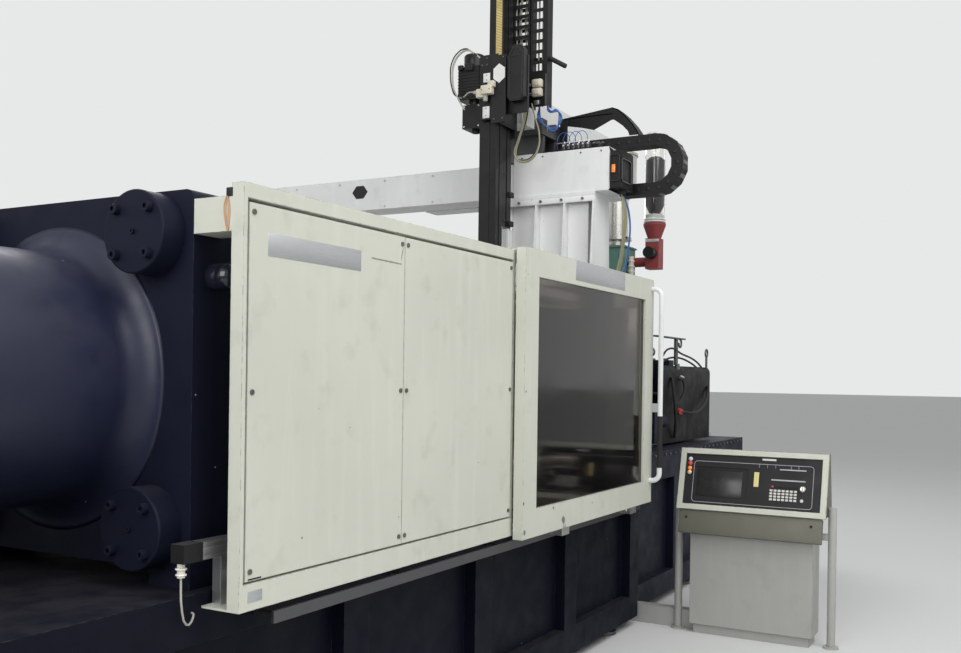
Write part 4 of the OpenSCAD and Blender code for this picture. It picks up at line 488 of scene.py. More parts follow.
class Piece:
    """Gathers the solids of one new piece, in the machine's millimetres."""

    def __init__(self):
        self.mesh = bmesh.new()
        self.finishes = []

    def keep(self, solid, finish, turn=None):
        """Adds a solid made in its own bmesh."""
        if finish not in self.finishes:
            self.finishes.append(finish)
        if turn:
            bmesh.ops.transform(solid, matrix=turn, verts=solid.verts)
        for face in solid.faces:
            face.material_index = self.finishes.index(finish)
        bmesh.ops.recalc_face_normals(solid, faces=solid.faces)
        part = bpy.data.meshes.new("part")
        solid.to_mesh(part)
        solid.free()
        self.mesh.from_mesh(part)
        bpy.data.meshes.remove(part)

    @staticmethod
    def soften(solid, width, segments=2):
        """Rounds the sharp edges."""
        sharp = [e for e in solid.edges if len(e.link_faces) == 2 and e.calc_face_angle() > 0.6]
        bmesh.ops.bevel(solid, geom=sharp, offset=width, offset_type="OFFSET", affect="EDGES",
                        segments=segments, profile=0.5, material=-1, clamp_overlap=True)

    @staticmethod
    def stand(solid, place, direction):
        """Moves a solid made along Z to a place, standing along a direction."""
        aim = Vector(direction).to_track_quat("Z", "Y").to_matrix().to_4x4()
        bmesh.ops.transform(solid, matrix=Matrix.Translation(place) @ aim, verts=solid.verts)

    def block(self, x, y, z, finish, edge=0.0, turn=None):
        """Box between two values on each axis."""
        solid = bmesh.new()
        bmesh.ops.create_cube(solid, size=1.0)
        bmesh.ops.scale(solid, vec=[abs(high - low) for low, high in (x, y, z)], verts=solid.verts)
        bmesh.ops.translate(solid, vec=[(low + high) / 2 for low, high in (x, y, z)], verts=solid.verts)
        if edge:
            self.soften(solid, edge)
        self.keep(solid, finish, turn)

    def rod(self, start, end, radius, finish, end_radius=None, sides=24, edge=0.0, turn=None):
        """Round bar or cone between two points."""
        start, end = Vector(start), Vector(end)
        solid = bmesh.new()
        bmesh.ops.create_cone(solid, cap_ends=True, segments=sides, radius1=radius,
                              radius2=radius if end_radius is None else end_radius,
                              depth=(end - start).length)
        if edge:
            self.soften(solid, edge)
        self.stand(solid, (start + end) / 2, end - start)
        self.keep(solid, finish, turn)

    def turned(self, outline, base, direction, finish, sides=32, turn=None):
        """Turned part: outline is (radius, height) from the base along the direction."""
        solid = bmesh.new()
        line = [solid.verts.new((radius, 0.0, height)) for radius, height in outline]
        edges = [solid.edges.new(pair) for pair in zip(line, line[1:])]
        bmesh.ops.spin(solid, geom=line + edges, cent=(0, 0, 0), axis=(0, 0, 1), dvec=(0, 0, 0),
                       angle=math.tau, steps=sides, use_merge=True)
        bmesh.ops.remove_doubles(solid, verts=solid.verts, dist=0.001)
        self.stand(solid, base, direction)
        self.keep(solid, finish, turn)

    @staticmethod
    def flat(outline, axis, level):
        """A bmesh with one face, on the plane where that axis has that value."""
        places = {"x": lambda a, b: (level, a, b), "y": lambda a, b: (a, level, b), "z": lambda a,
                  b: (a, b, level)}
        solid = bmesh.new()
        return solid, solid.faces.new([solid.verts.new(places[axis](a, b)) for a, b in outline])

    @staticmethod
    def push(solid, faces, axis, depth):
        """Extrudes faces along one axis."""
        raised = bmesh.ops.extrude_face_region(solid, geom=faces)["geom"]
        way = Vector([depth if name == axis else 0.0 for name in "xyz"])
        bmesh.ops.translate(solid, vec=way, verts=[v for v in raised if isinstance(v, bmesh.types.BMVert)])

    def sheet(self, outline, axis, low, high, finish, edge=0.0, turn=None):
        """Flat outline on the two other axes, extruded along one axis from low to high."""
        solid, face = self.flat(outline, axis, low)
        self.push(solid, [face], axis, high - low)
        bmesh.ops.recalc_face_normals(solid, faces=solid.faces)
        if edge:
            self.soften(solid, edge)
        self.keep(solid, finish, turn)

    def ring(self, outline, axis, low, high, width, finish, turn=None):
        """Flat frame round the inside of an outline, extruded along one axis."""
        solid, face = self.flat(outline, axis, low)
        solid.normal_update()
        bmesh.ops.inset_individual(solid, faces=[face], thickness=width, use_even_offset=True)
        bmesh.ops.delete(solid, geom=[face], context="FACES")
        self.push(solid, list(solid.faces), axis, high - low)
        self.keep(solid, finish, turn)

    def ball(self, centre, radius, finish, stretch=(1.0, 1.0, 1.0), turn=None):
        """Ball or dome round a point."""
        solid = bmesh.new()
        bmesh.ops.create_uvsphere(solid, u_segments=32, v_segments=16, radius=radius)
        bmesh.ops.scale(solid, vec=stretch, verts=solid.verts)
        bmesh.ops.translate(solid, vec=centre, verts=solid.verts)
        self.keep(solid, finish, turn)

    def screw(self, place, way, radius, finish="dark_steel", height=None, turn=None):
        """Cap screw head with a hollow, standing on a face."""
        tall = height or radius * 1.1
        self.turned(((0, 0), (radius, 0), (radius, tall * 0.85), (radius * 0.88, tall), (radius * 0.55, tall),
                     (radius * 0.5, tall * 0.4), (0, tall * 0.4)), place, way, finish, 16, turn)

    def finish(self, name, body, slot, smooth=35.0):
        """Makes the object, and lets it ride on its body."""
        bmesh.ops.scale(self.mesh, vec=(MM, MM, MM), verts=self.mesh.verts)
        bmesh.ops.translate(self.mesh, vec=DATUM, verts=self.mesh.verts)
        mesh = bpy.data.meshes.new(name)
        self.mesh.to_mesh(mesh)
        self.mesh.free()
        mesh.polygons.foreach_set("use_smooth", [True] * len(mesh.polygons))
        mesh.set_sharp_from_angle(angle=math.radians(smooth))
        for finish in self.finishes:
            mesh.materials.append(Finishes.get(finish))
        return show(name, mesh, body)


def show(name, data, body):
    """Puts a new piece in the scene, riding on its body."""
    made = bpy.data.objects.new(name, data)
    bpy.context.scene.collection.objects.link(made)
    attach(made, body)
    return made


def wire(name, points, radius, finish, body):
    """Smooth round wire or hose through points given in the machine's millimetres."""
    curve = bpy.data.curves.new(name, "CURVE")
    curve.dimensions = "3D"
    curve.bevel_depth = radius * MM
    curve.bevel_resolution = 3
    curve.resolution_u = 6
    curve.use_fill_caps = True
    runs = points if isinstance(points[0][0], (tuple, list)) else [points]
    for run in runs:
        spline = curve.splines.new("BEZIER")
        spline.bezier_points.add(len(run) - 1)
        for knot, place in zip(spline.bezier_points, run):
            knot.co = at(*place)
            knot.handle_left_type = knot.handle_right_type = "AUTO"
    curve.materials.append(Finishes.get(finish))
    return show(name, curve, body)


def arc(centre, radius, start, end, plane="xz", count=10):
    """Points of an arc, angles in degrees, in a plane through the centre."""
    first, second = ("xyz".index(letter) for letter in plane)
    points = []
    for step in range(count + 1):
        angle = math.radians(start + (end - start) * step / count)
        place = list(centre)
        place[first] += radius * math.cos(angle)
        place[second] += radius * math.sin(angle)
        points.append(tuple(place))
    return points


def rounded_outline(width, height, radius, middle=(0.0, 0.0), count=6):
    """Corner points of a rectangle with rounded corners."""
    points = []
    for corner, (sx, sy) in enumerate(((1, 1), (-1, 1), (-1, -1), (1, -1))):
        for step in range(count + 1):
            angle = math.radians(90 * corner + 90 * step / count)
            points.append((middle[0] + sx * (width / 2 - radius) + radius * math.cos(angle),
                           middle[1] + sy * (height / 2 - radius) + radius * math.sin(angle)))
    return points


# Settings shown in the panel.


class MachineColours(bpy.types.PropertyGroup):
    """Colours that an owner would change."""

    navy: bpy.props.FloatVectorProperty(
        name="Castings", description="Paint of the beds, platens and cylinders", subtype="COLOR",
        size=3, min=0.0, max=1.0, default=(0.0075, 0.009, 0.021))
    cream: bpy.props.FloatVectorProperty(
        name="Guards", description="Paint of the guards, doors and console bezel", subtype="COLOR",
        size=3, min=0.0, max=1.0, default=(0.60, 0.61, 0.53))
    white: bpy.props.FloatVectorProperty(
        name="Robot", description="Paint of the robot's beams and pedestal", subtype="COLOR",
        size=3, min=0.0, max=1.0, default=(0.78, 0.79, 0.78))


class MachineWiring(bpy.types.PropertyGroup):
    """Size of the machine's own cable."""

    sensor_cable: bpy.props.FloatProperty(
        name="Sensor cable", description="Diameter of the position sensor's cable", unit="LENGTH",
        default=0.007, min=0.006, max=0.008)


class MachineStudio(bpy.types.PropertyGroup):
    """Studio round the machine."""

    floor: bpy.props.FloatVectorProperty(
        name="Floor", description="Colour of the studio floor", subtype="COLOR",
        size=3, min=0.0, max=1.0, default=(0.72, 0.73, 0.72))
    ambient: bpy.props.FloatProperty(
        name="Ambient", description="Strength of the light from all round", default=0.42, min=0.0, max=2.0)
    key_power: bpy.props.FloatProperty(
        name="Overhead light", description="Power of the large light over the operator's side",
        default=430.0, min=0.0, max=5000.0)


# Stage and cord.


class MACHINE_OT_stage(bpy.types.Operator):
    """Pale floor, soft lights and the camera at the photograph's viewing angle"""

    bl_idname = "machine.stage"
    bl_label = "Studio and camera"

    def execute(self, context):
        look = context.scene.machine_studio
        context.scene.view_settings.view_transform = "Standard"
        self.floor(look)
        self.world(context, look)
        for name, place, aim, size, power in (
            ("overhead_light", (-2.5, -5.5, 7.2), (-0.5, -0.5, 1.2), 6.0, look.key_power),
            ("end_light", (-9.0, -1.0, 4.5), (-1.5, 0.0, 2.2), 4.5, look.key_power * 0.75),
            ("fill_light", (6.5, 6.5, 6.5), (1.0, 0.0, 1.5), 6.0, look.key_power * 0.7),
        ):
            light = bpy.data.lights.new(name, "AREA")
            light.shape = "SQUARE"
            light.size = size
            light.energy = power
            lamp = bpy.data.objects.new(name, light)
            context.scene.collection.objects.link(lamp)
            lamp.location = place
            lamp.rotation_euler = (Vector(aim) - Vector(place)).to_track_quat("-Z", "Y").to_euler()
        self.camera(context)
        return {"FINISHED"}

    def floor(self, look):
        """Plain pale floor."""
        mesh = bmesh.new()
        bmesh.ops.create_grid(mesh, x_segments=8, y_segments=8, size=120.0)
        made = bpy.data.meshes.new("studio_floor")
        mesh.to_mesh(made)
        mesh.free()
        tone = Finish("studio_floor", look.floor, 0.85)
        tone.layer(tone.between(tone.noise(0.5, 2.0), 0.35, 0.65, 0.0, 0.25), tinted(look.floor, 0.97))
        made.materials.append(tone.done())
        floor = bpy.data.objects.new("studio_floor", made)
        bpy.context.scene.collection.objects.link(floor)

    def world(self, context, look):
        """Soft light from all round, and a pale background behind the machine."""
        world = bpy.data.worlds.new("studio_air")
        context.scene.world = world
        world.use_nodes = True
        tree = world.node_tree
        tree.nodes.clear()
        out = tree.nodes.new("ShaderNodeOutputWorld")
        seen = tree.nodes.new("ShaderNodeBackground")
        seen.inputs["Color"].default_value = (0.80, 0.81, 0.81, 1.0)
        light = tree.nodes.new("ShaderNodeBackground")
        light.inputs["Color"].default_value = (0.98, 0.99, 1.0, 1.0)
        light.inputs["Strength"].default_value = look.ambient
        path = tree.nodes.new("ShaderNodeLightPath")
        shown = path.outputs["Is Camera Ray"]
        for ray in ("Is Glossy Ray", "Is Transmission Ray"):
            either = tree.nodes.new("ShaderNodeMath")
            either.operation = "MAXIMUM"
            tree.links.new(shown, either.inputs[0])
            tree.links.new(path.outputs[ray], either.inputs[1])
            shown = either.outputs[0]
        mix = tree.nodes.new("ShaderNodeMixShader")
        for source, socket in zip((shown, light.outputs[0], seen.outputs[0]), mix.inputs):
            tree.links.new(source, socket)
        tree.links.new(mix.outputs[0], out.inputs["Surface"])

    def camera(self, context):
        """Camera fitted to the photograph's straight edges."""
        yaw, pitch, roll = (math.radians(angle) for angle in (29.14, -0.14, 0.80))
        ahead = Vector((math.cos(pitch) * math.cos(yaw), math.cos(pitch) * math.sin(yaw), math.sin(pitch)))
        level = Vector((math.sin(yaw), -math.cos(yaw), 0.0))
        above = level.cross(ahead)
        right = level * math.cos(roll) + above * math.sin(roll)
        up = above * math.cos(roll) - level * math.sin(roll)
        data = bpy.data.cameras.new("camera")
        data.sensor_width = 36.0
        data.lens = 37.58
        data.shift_y = 0.0539
        data.clip_end = 300.0
        camera = bpy.data.objects.new("camera", data)
        context.scene.collection.objects.link(camera)
        turn = Matrix((right, up, -ahead)).transposed().to_4x4()
        camera.matrix_world = Matrix.Translation(at(-2339.5, -3001.65, 1630.0)) @ turn
        context.scene.camera = camera


class MACHINE_OT_sensor_cable(bpy.types.Operator):
    """Position sensor with its gland and hanging cable"""

    bl_idname = "machine.sensor_cable"
    bl_label = "Position sensor and cable"

    def execute(self, context):
        size = context.scene.machine_wiring.sensor_cable
        x, y, z = -112.0, -725.0, 1002.0
        steps = ((0, 0, 0), (0, 0, -30), (1, 0, -70), (6, 0, -105), (14, 1, -134), (26, 2, -149),
                 (40, 4, -152), (53, 7, -145), (62, 10, -135), (68, 14, -127), (70, 19, -124), (70, 25, -124))
        route = [at(x + a, y + b, z + c) for a, b, c in steps]
        curve = bpy.data.curves.new("sensor_lead", "CURVE")
        curve.dimensions = "3D"
        curve.bevel_depth = size / 2
        curve.bevel_resolution = 4
        curve.use_fill_caps = True
        spline = curve.splines.new("POLY")
        spline.points.add(len(route) - 1)
        for knot, place in zip(spline.points, route):
            knot.co = (*place, 1.0)
        curve.materials.append(Finishes.get("grey_cable"))
        lead = show("sensor_lead", curve, "frame")
        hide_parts("sensor_cable")
        dress_parts("position_sensor", "aluminium_profile",
                    ("black_plastic", (-135, -760, 1030), (-49, -690, 1115)),
                    ("beige_plastic", (-135, -760, 1000), (-49, -690, 1046)))
        gland = Piece()
        for low, high, radius in ((1026, 1032, 16), (1008, 1014, 15)):
            gland.turned(((0, 0), (radius, 0), (radius + 2, 2), (radius + 2, high - low - 2),
                          (radius, high - low), (0, high - low)), (x, y, low), (0, 0, 1), "white_plastic", 24)
        gland.finish("sensor_gland_rings", "frame", "white_paint")
        return {"FINISHED"}


# The machine, from clamp to feed.


class MACHINE_OT_clamp_unit(bpy.types.Operator):
    """Beds, platens, drum and tie bars, with a buffer dome beside the platen"""

    bl_idname = "machine.clamp_unit"
    bl_label = "Clamp unit"

    def execute(self, context):
        dress("bed_paint", "clamp_bed")
        dress("navy_paint", "cylinder_platen", "cylinder_cover", "tie_bar_nuts", "machine_screws",
              "fixed_platen", "moving_platen")
        dress("drum_paint", "clamp_cylinder")
        dress("chrome_bar", "tie_bars", "clamp_ram", "ejector_rod")
        dress("ground_steel", "slide_rails")
        dress("dark_steel", "levelling_feet", "ejector_cylinder")
        dome = Piece()
        x, z = 92, 1938
        dome.ball((x, -703, z), 45, "dome_navy")
        dome.turned(((0, 0), (44, 0), (44, 40), (38, 54), (0, 54)), (x, -646, z), (0, -1, 0), "dome_navy")
        dome.finish("platen_dome", "frame", "black_plastic")
        return {"FINISHED"}


class MACHINE_OT_guards(bpy.types.Operator):
    """Fixed guards with their bare plates, earth bar and strap"""

    bl_idname = "machine.guards"
    bl_label = "Fixed guards"

    def execute(self, context):
        dress("cream_paint", "guard_frame", "rear_guard")
        dress("panel_cream", "guard_panel_rear", "guard_panel_front")
        dress("screw_zinc", "guard_screws")
        plates = Piece()
        plates.block((112, 611), (GUARD_FRONT - 1.5, GUARD_FRONT), (2002, 2076), "label_silver", 0.5)
        plates.block((39, 105), (GUARD_FRONT - 1.2, GUARD_FRONT), (911, 947), "label_silver", 0.4)
        plates.block((39, 100), (GUARD_FRONT - 0.8, GUARD_FRONT), (981, 986), "rubber")
        plates.block((2, 160), (-812, -782), (2175, 2207), "cream_paint", 3)
        plates.block((-3, 4), (-810, -784), (2177, 2205), "rubber", 2)
        plates.finish("guard_bare_plates", "frame", "ground_steel")
        wire("guard_strap", [[(-5, -789, 2178), (-8, -782, 2150), (-8, -785, 2110), (-6, -793, 2070)],
                             [(-5, -791, 2178), (-8, -799, 2141), (-7, -797, 2105), (-6, -794, 2070)]], 2.0,
             "orange_strap", "frame")
        return {"FINISHED"}


class MACHINE_OT_doors(bpy.types.Operator):
    """Sliding doors with smoked windows, bare plate and handle"""

    bl_idname = "machine.doors"
    bl_label = "Sliding doors"

    def execute(self, context):
        dress("door_cream", "door_frame", "rear_door")
        dress("smoked_window", "door_window", "rear_window")
        dress("white_paint", "door_handle")
        dress("ground_steel", "door_shoes")
        dress("dark_steel", "door_rails")
        plate = Piece()
        plate.block((2383, 3077), (DOOR_FRONT - 1.5, DOOR_FRONT), (2128, 2230), "label_silver", 0.5)
        for x, z in ((2272, 882), (3130, 868)):
            plate.screw((x, DOOR_FRONT, z), (0, -1, 0), 9, "ground_steel")
        plate.finish("door_bare_plate", "front_door", "ground_steel")
        low, high = ((corner - DATUM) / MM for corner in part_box("door_handle"))
        sleeve = Piece()
        x = high.x - HANDLE_R
        sleeve.turned(((HANDLE_R + 0.2, 0), (HANDLE_R + 1.2, 0), (HANDLE_R + 1.2, 314), (HANDLE_R + 0.2, 314),
                       (HANDLE_R + 0.2, 0)), (x, low.y + HANDLE_R, 1085), (0, 0, 1), "rubber")
        sleeve.finish("handle_sleeve", "front_door", "black_plastic")
        return {"FINISHED"}


class MACHINE_OT_console(bpy.types.Operator):
    """Operating console: outline, screen, keypad, lamps and bare bars"""

    bl_idname = "machine.console"
    bl_label = "Operating console"

    def execute(self, context):
        dress("cream_paint", "console_bezel")
        dress("fascia_black", "console_fascia")
        dress("grey_paint", "console_housing")
        dress("post_grey", "console_stand")
        dress("ground_steel", "key_switch")
        lean = Matrix.Translation(CONSOLE_EDGE) @ Matrix.Rotation(CONSOLE_LEAN, 4, "Y")
        top = -FASCIA_OUT

        face = Piece()
        face.ring(rounded_outline(748, 266, 22, (-3, 183)), "x", top, top - 0.6, 3.0, "outline_print", lean)
        face.block((top + 6, top + 3.5), (56, 346), (92, 258), "screen_glass", 1, lean)
        # A dark recessed strip just above the screen: painted shade in the slot over the screen.
        face.block((top + 6, top + 4), (66, 336), (262, 274), "rubber", 0, lean)
        face.block((top, top - 1.0), (-47, -17), (170, 262), "strip_yellow", 0, lean)
        for low, high, left, length in ((216, 224, -124, 206), (283, 290, -171, 160)):
            face.block((top, top - 0.6), (left - length, left), (low, high), "outline_print", 0, lean)
        for y in (-45, -95, -145, -240, -285):
            face.block((top, top - 0.5), (y - 1, y + 1), (292, 314), "outline_print", 0, lean)
        face.block((top, top - 1.5), (-146, -61), (338, 350), "key_white", 0.5, lean)
        face.finish("console_face", "frame", "black_plastic")

        keys = Piece()
        for row in range(4):
            for column in range(7):
                y, z = -127 - column * 24.5, 98 + row * 18.5
                keys.block((top, top - 4), (y - 9, y + 9), (z - 6.5, z + 6.5), "key_white", 1.6, lean)
        for column in range(8):
            y = -134 - column * 21
            keys.block((top, top - 4), (y - 8, y + 8), (172, 184), "key_red" if column == 0 else "rubber",
                       1.6, lean)
        keys.finish("console_keys", "frame", "white_paint")

        lamps = Piece()
        for z, finish in ((325, "lamp_white"), (297, "lamp_red"), (266, "lamp_orange"), (239, "lamp_yellow")):
            lamps.turned(((0, 0), (13, 0), (13, 3), (10, 4), (9, 9), (5, 12), (0, 13)), (top, 397, z),
                         (-1, 0, 0), finish, 24, lean)
        lamps.turned(((0, 0), (10, 0), (10, 3), (7, 5), (0, 6)), (top, -314, 100), (-1, 0, 0), "lamp_white",
                     20, lean)
        lamps.turned(((14, 0), (20, 0), (20, 3), (17, 5), (14, 5), (14, 0)), (top, -315, 171.8), (-1, 0, 0),
                     "screw_zinc", 32, lean)
        for y in (394, -379):
            lamps.screw((-8, y, -50), (-1, 0, 0), 8, "rubber", 4, lean)
        lamps.finish("console_lamps", "frame", "red_paint")

        lip = Piece()
        lip.block((-8, 40), (-440, 440), (-150, -1), "grey_paint", 4, lean)
        lip.finish("console_lip", "frame", "grey_paint")
        return {"FINISHED"}


class MACHINE_OT_robot_beam(bpy.types.Operator):
    """Robot's pedestal and cross beam: bolts, bare plates, end cap and cable bundle"""

    bl_idname = "machine.robot_beam"
    bl_label = "Robot cross beam"

    def execute(self, context):
        dress("white_paint", "robot_pedestal")
        dress_parts("robot_beam", "white_paint", ("black_plastic", (3580, -692, 2800), (3800, -610, 3080)))
        dress("dark_steel", "robot_carriage")
        apron = Piece()
        apron.block((APRON_X, APRON_X + 14), (-519, 299), (2751, 2790), "white_paint", 2)
        apron.finish("pedestal_apron", "frame", "white_paint")
        bolts = Piece()
        for y in (-440, -293, -145, 13, 170):
            bolts.screw((APRON_X, y, 2771), (-1, 0, 0), 9, "screw_zinc")
        for y in (-560, -420, -150, 0):
            bolts.screw((BEAM_FACE_X, y, 3066), (-1, 0, 0), 5, "dark_steel")
        for y in (300, 700, 1100, 1500, 1900):
            for z in (2834, 3014):
                bolts.screw((BEAM_FACE_X + 12, y, z), (-1, 0, 0), 7, "ground_steel")
        bolts.sheet([(1320 + a, 2947 + b) for a,
                     b in ((68, 0), (32, 46), (-32, 46), (-68, 0), (-32, -46), (32, -46))],
                    "x", BEAM_FACE_X + 12, BEAM_FACE_X + 10.5, "rubber")
        bolts.finish("beam_bolts", "frame", "ground_steel")

        cap = Piece()
        cap.ring(rounded_outline(66, 172, 16, (-648, 2953)), "x", 3586, 3578, 6, "glossy_black")
        cap.block((3586, 3582), (-656, -622), (2918, 2980), "rubber", 3)
        cap.block((3582, 3576), (-651, -627), (2924, 2974), "lamp_orange", 3)
        cap.ring(rounded_outline(160, 150, 18, (3662, 2938)), "y", -690, -698, 6, "glossy_black")
        cap.rod((3700, -650, 2828), (3700, -650, 2806), 26, "rubber")
        cap.rod((3745, -640, 2828), (3745, -640, 2800), 20, "rubber")
        cap.turned(((0, 0), (34, 0), (38, 4), (38, 34), (34, 38), (24, 40), (22, 34), (0, 34)),
                   (3612, -523, 3093), (-0.35, -0.1, 0.93), "glossy_black")
        cap.finish("beam_end_cap", "frame", "black_plastic")

        olive = []
        for k in range(4):
            x = 3704 + k * 15
            olive.append([(x, -646 + k * 3, 2812), (x + 10, -655 - k * 2, 2700), (x + 40 - k * 4, -640, 2500),
                          (x + 62, -600, 2330), (x + 70, -560 + k * 4, 2214)])
        wire("beam_cables", olive, 5.0, "cable_olive", "frame")
        wire("beam_air_hose", [(3760, -640, 2806), (3790, -668, 2690), (3830, -652, 2480), (3846, -610, 2320),
                               (3830, -540, 2214)], 6.0, "blue_hose", "frame")
        return {"FINISHED"}


class MACHINE_OT_robot_carriage(bpy.types.Operator):
    """Robot's carriage: chain tray, valves and air lines"""

    bl_idname = "machine.robot_carriage"
    bl_label = "Robot carriage"

    def execute(self, context):
        tray = Piece()
        outline = [(-150, 3372), (-519, 3411), (-560, 3394), (-607, 3351), (-660, 3290), (-691, 3244),
                   (-705, 3214),
                   (-640, 3214), (-629, 3244), (-590, 3285), (-523, 3334), (-389, 3276), (-300, 3300),
                   (-150, 3330)]
        tray.sheet(outline, "x", 3846, 3852, "black_plastic")
        tray.block((3846, 3985), (-519, -150), (3366, 3372), "black_plastic")
        for (y0, z0), (y1, z1) in zip(outline[1:6], outline[2:7]):
            tray.sheet([(y0, z0), (y1, z1), (y1 + 4, z1 - 5), (y0 + 4, z0 - 5)], "x", 3846, 3962,
                       "black_plastic")
        tray.block((3836, 3848), (-200, -146), (3214, 3360), "black_plastic", 2)
        tray.finish("chain_tray", "robot_carriage", "black_plastic")

        valves = Piece()
        valves.block((3596, 3640), (-470, -120), (3090, 3104), "black_plastic", 2)
        for k in range(6):
            y = -452 + k * 34
            valves.block((3598, 3634), (y - 11, y + 11), (3104, 3138 + 6 * (k % 2)), "dark_steel", 3)
            valves.rod((3616, y, 3136), (3616, y, 3158), 7, "label_silver", 5, 16, 1)
            valves.rod((3598, y, 3120), (3584, y - 6, 3128), 6, "label_silver", sides=16)
        valves.finish("air_valves", "robot_carriage", "dark_steel")
        lines = []
        for k in range(4):
            y = -446 + k * 42
            lines.append([(3616, y, 3156), (3610, y + 8, 3196), (3604, y + 40, 3216), (3600, y + 74, 3190),
                          (3602, y + 84, 3150), (3612, y + 84, 3110)])
        wire("air_lines", lines, 2.2, "blue_hose", "robot_carriage")
        return {"FINISHED"}


class MACHINE_OT_robot_head(bpy.types.Operator):
    """Robot's head and arm: belt, bare badge and plates, sensor box, connectors and cables"""

    bl_idname = "machine.robot_head"
    bl_label = "Robot head and arm"

    def execute(self, context):
        dress_parts("kick_beam", "black_anodised", ("white_sheet", (3380, -95, 3240), (5000, 95, 3480)))
        dress_parts("robot_arm", "black_anodised", ("ground_steel", (3226.5, -40, 2450), (3251, 30, 2573)))
        dress("black_plastic", "arm_chain")
        dress("dark_steel", "robot_wrist")
        self.arm()
        self.cover()
        self.motor()
        self.cabling()
        return {"FINISHED"}

    def arm(self):
        """Belt, its clamps and the gripper's fittings."""
        belt = Piece()
        belt.block((3230, 3232.5), (-18, 26), (3630, 4548), "belt")
        belt.block((3226.5, 3233), (-20, 28), (4528, 4556), "dark_steel", 2)
        for z in (2585, 2770):
            belt.block((3318, 3372), (-46, -30), (z, z + 34), "rubber", 3)
        belt.rod((3350, -38, 2574), (3350, -38, 2560), 12, "ground_steel", sides=16)
        belt.block((3176, 3200), (84, 104), (3096, 3170), "rubber", 5)
        for z in (2600, 2900, 3150):
            belt.screw((3272, -30, z + 12), (0, -1, 0), 5, "dark_steel")
        belt.finish("arm_belt", "robot_arm", "black_anodised")

    def cover(self):
        """Bare plates and badge, sensor box and belt cover."""
        plates = Piece()
        plates.sheet([(-73 + a, 3493 + b) for a,
                      b in ((0, 60), (-40, 30), (-40, -30), (0, -60), (40, -30), (40, 30))],
                     "x", 3096, 3094.5, "white_plastic")
        for low, high, left in ((3452, 3508, 44), (3230, 3302, 46)):
            plates.block((3108, 3106.4), (left - 48, left), (low, high), "white_plastic", 0.4)
            for z in (low + 14, high - 12):
                plates.screw((3106.4, left - 24, z), (-1, 0, 0), 3.2, "rubber", 1.5)
        for y, z in ((20, 3600), (20, 3560), (-100, 3590), (-100, 3215), (-40, 3215), (52, 3560)):
            plates.screw((3108 if y > -19 else 3096, y, z), (-1, 0, 0), 6, "dark_steel", 4)
        plates.finish("head_plates", "kick_beam", "white_paint")

        sensor = Piece()
        sensor.block((3050, 3096), (-40, 34), (3364, 3420), "beige_plastic", 6)
        sensor.block((3060, 3108), (20, 72), (3350, 3404), "beige_plastic", 6)
        sensor.block((3062, 3096), (-52, -8), (3408, 3446), "beige_plastic", 5)
        sensor.rod((3078, 12, 3366), (3078, 12, 3326), 17, "cable_grey", 14, 24, 2)
        sensor.rod((3082, 70, 3384), (3082, 98, 3392), 13, "cable_grey", 10, 24, 2)
        for y in (-30, 24):
            sensor.screw((3050, y, 3392), (-1, 0, 0), 4, "dark_steel", 2)
        sensor.finish("head_sensor_box", "kick_beam", "grey_cable")

        seams = Piece()
        seams.ring([(-231, 3352), (-231, 3602), (-212, 3634), (-166, 3642), (-140, 3590), (-140, 3352),
                    (-160, 3325), (-210, 3325)], "x", 3100, 3097, 5, "glossy_black")
        seams.block((3099, 3097), (-206, -162), (3585, 3590), "glossy_black")
        seams.finish("belt_cover_rim", "kick_beam", "black_plastic")

    def motor(self):
        """Fins, plugs and cable loops of the head's motor."""
        made = Piece()
        for z in (3396, 3416, 3436, 3456, 3476, 3496, 3516, 3536, 3556):
            made.block((3167, 3323), (109, 265), (z, z + 6), "black_anodised", 2)
        made.turned(((0, 0), (66, 0), (66, 10), (60, 18), (0, 20)), (3245, 187, 3659), (0, 0, 1), "rubber")
        made.block((3150, 3172), (150, 206), (3560, 3604), "rubber", 4)
        made.block((3150, 3172), (222, 256), (3570, 3600), "rubber", 4)
        made.rod((3245, 170, 3210), (3245, 170, 3180), 26, "rubber", sides=24, edge=2)
        for y in (116, 220):
            for z in (3212, 3338):
                made.screw((3180, y, z), (-1, 0, 0), 6, "ground_steel", 4)
        made.finish("head_motor_trim", "kick_beam", "black_anodised")
        loop = [(3110, 70, 3610), (3112, 120, 3650), (3114, 168, 3676), (3116, 225, 3658), (3118, 268, 3600),
                (3118, 276, 3520), (3116, 262, 3440), (3112, 236, 3392), (3104, 190, 3376), (3094, 140, 3398),
                (3086, 100, 3394)]
        inner = [(x - 12, y - 10, z - 8) for x, y, z in loop[1:8]] + [(3108, 204, 3340), (3112, 180, 3300)]
        wire("head_motor_cables", [loop, inner], 5.0, "cable_grey", "kick_beam")
        outer = [(x - 8, y + 9, z + 6) for x, y, z in loop[1:9]]
        wire("head_motor_lead", [[(3116, 60, 3600)] + outer + [(3092, 150, 3360), (3084, 100, 3380)]], 4.0,
             "rubber", "kick_beam")

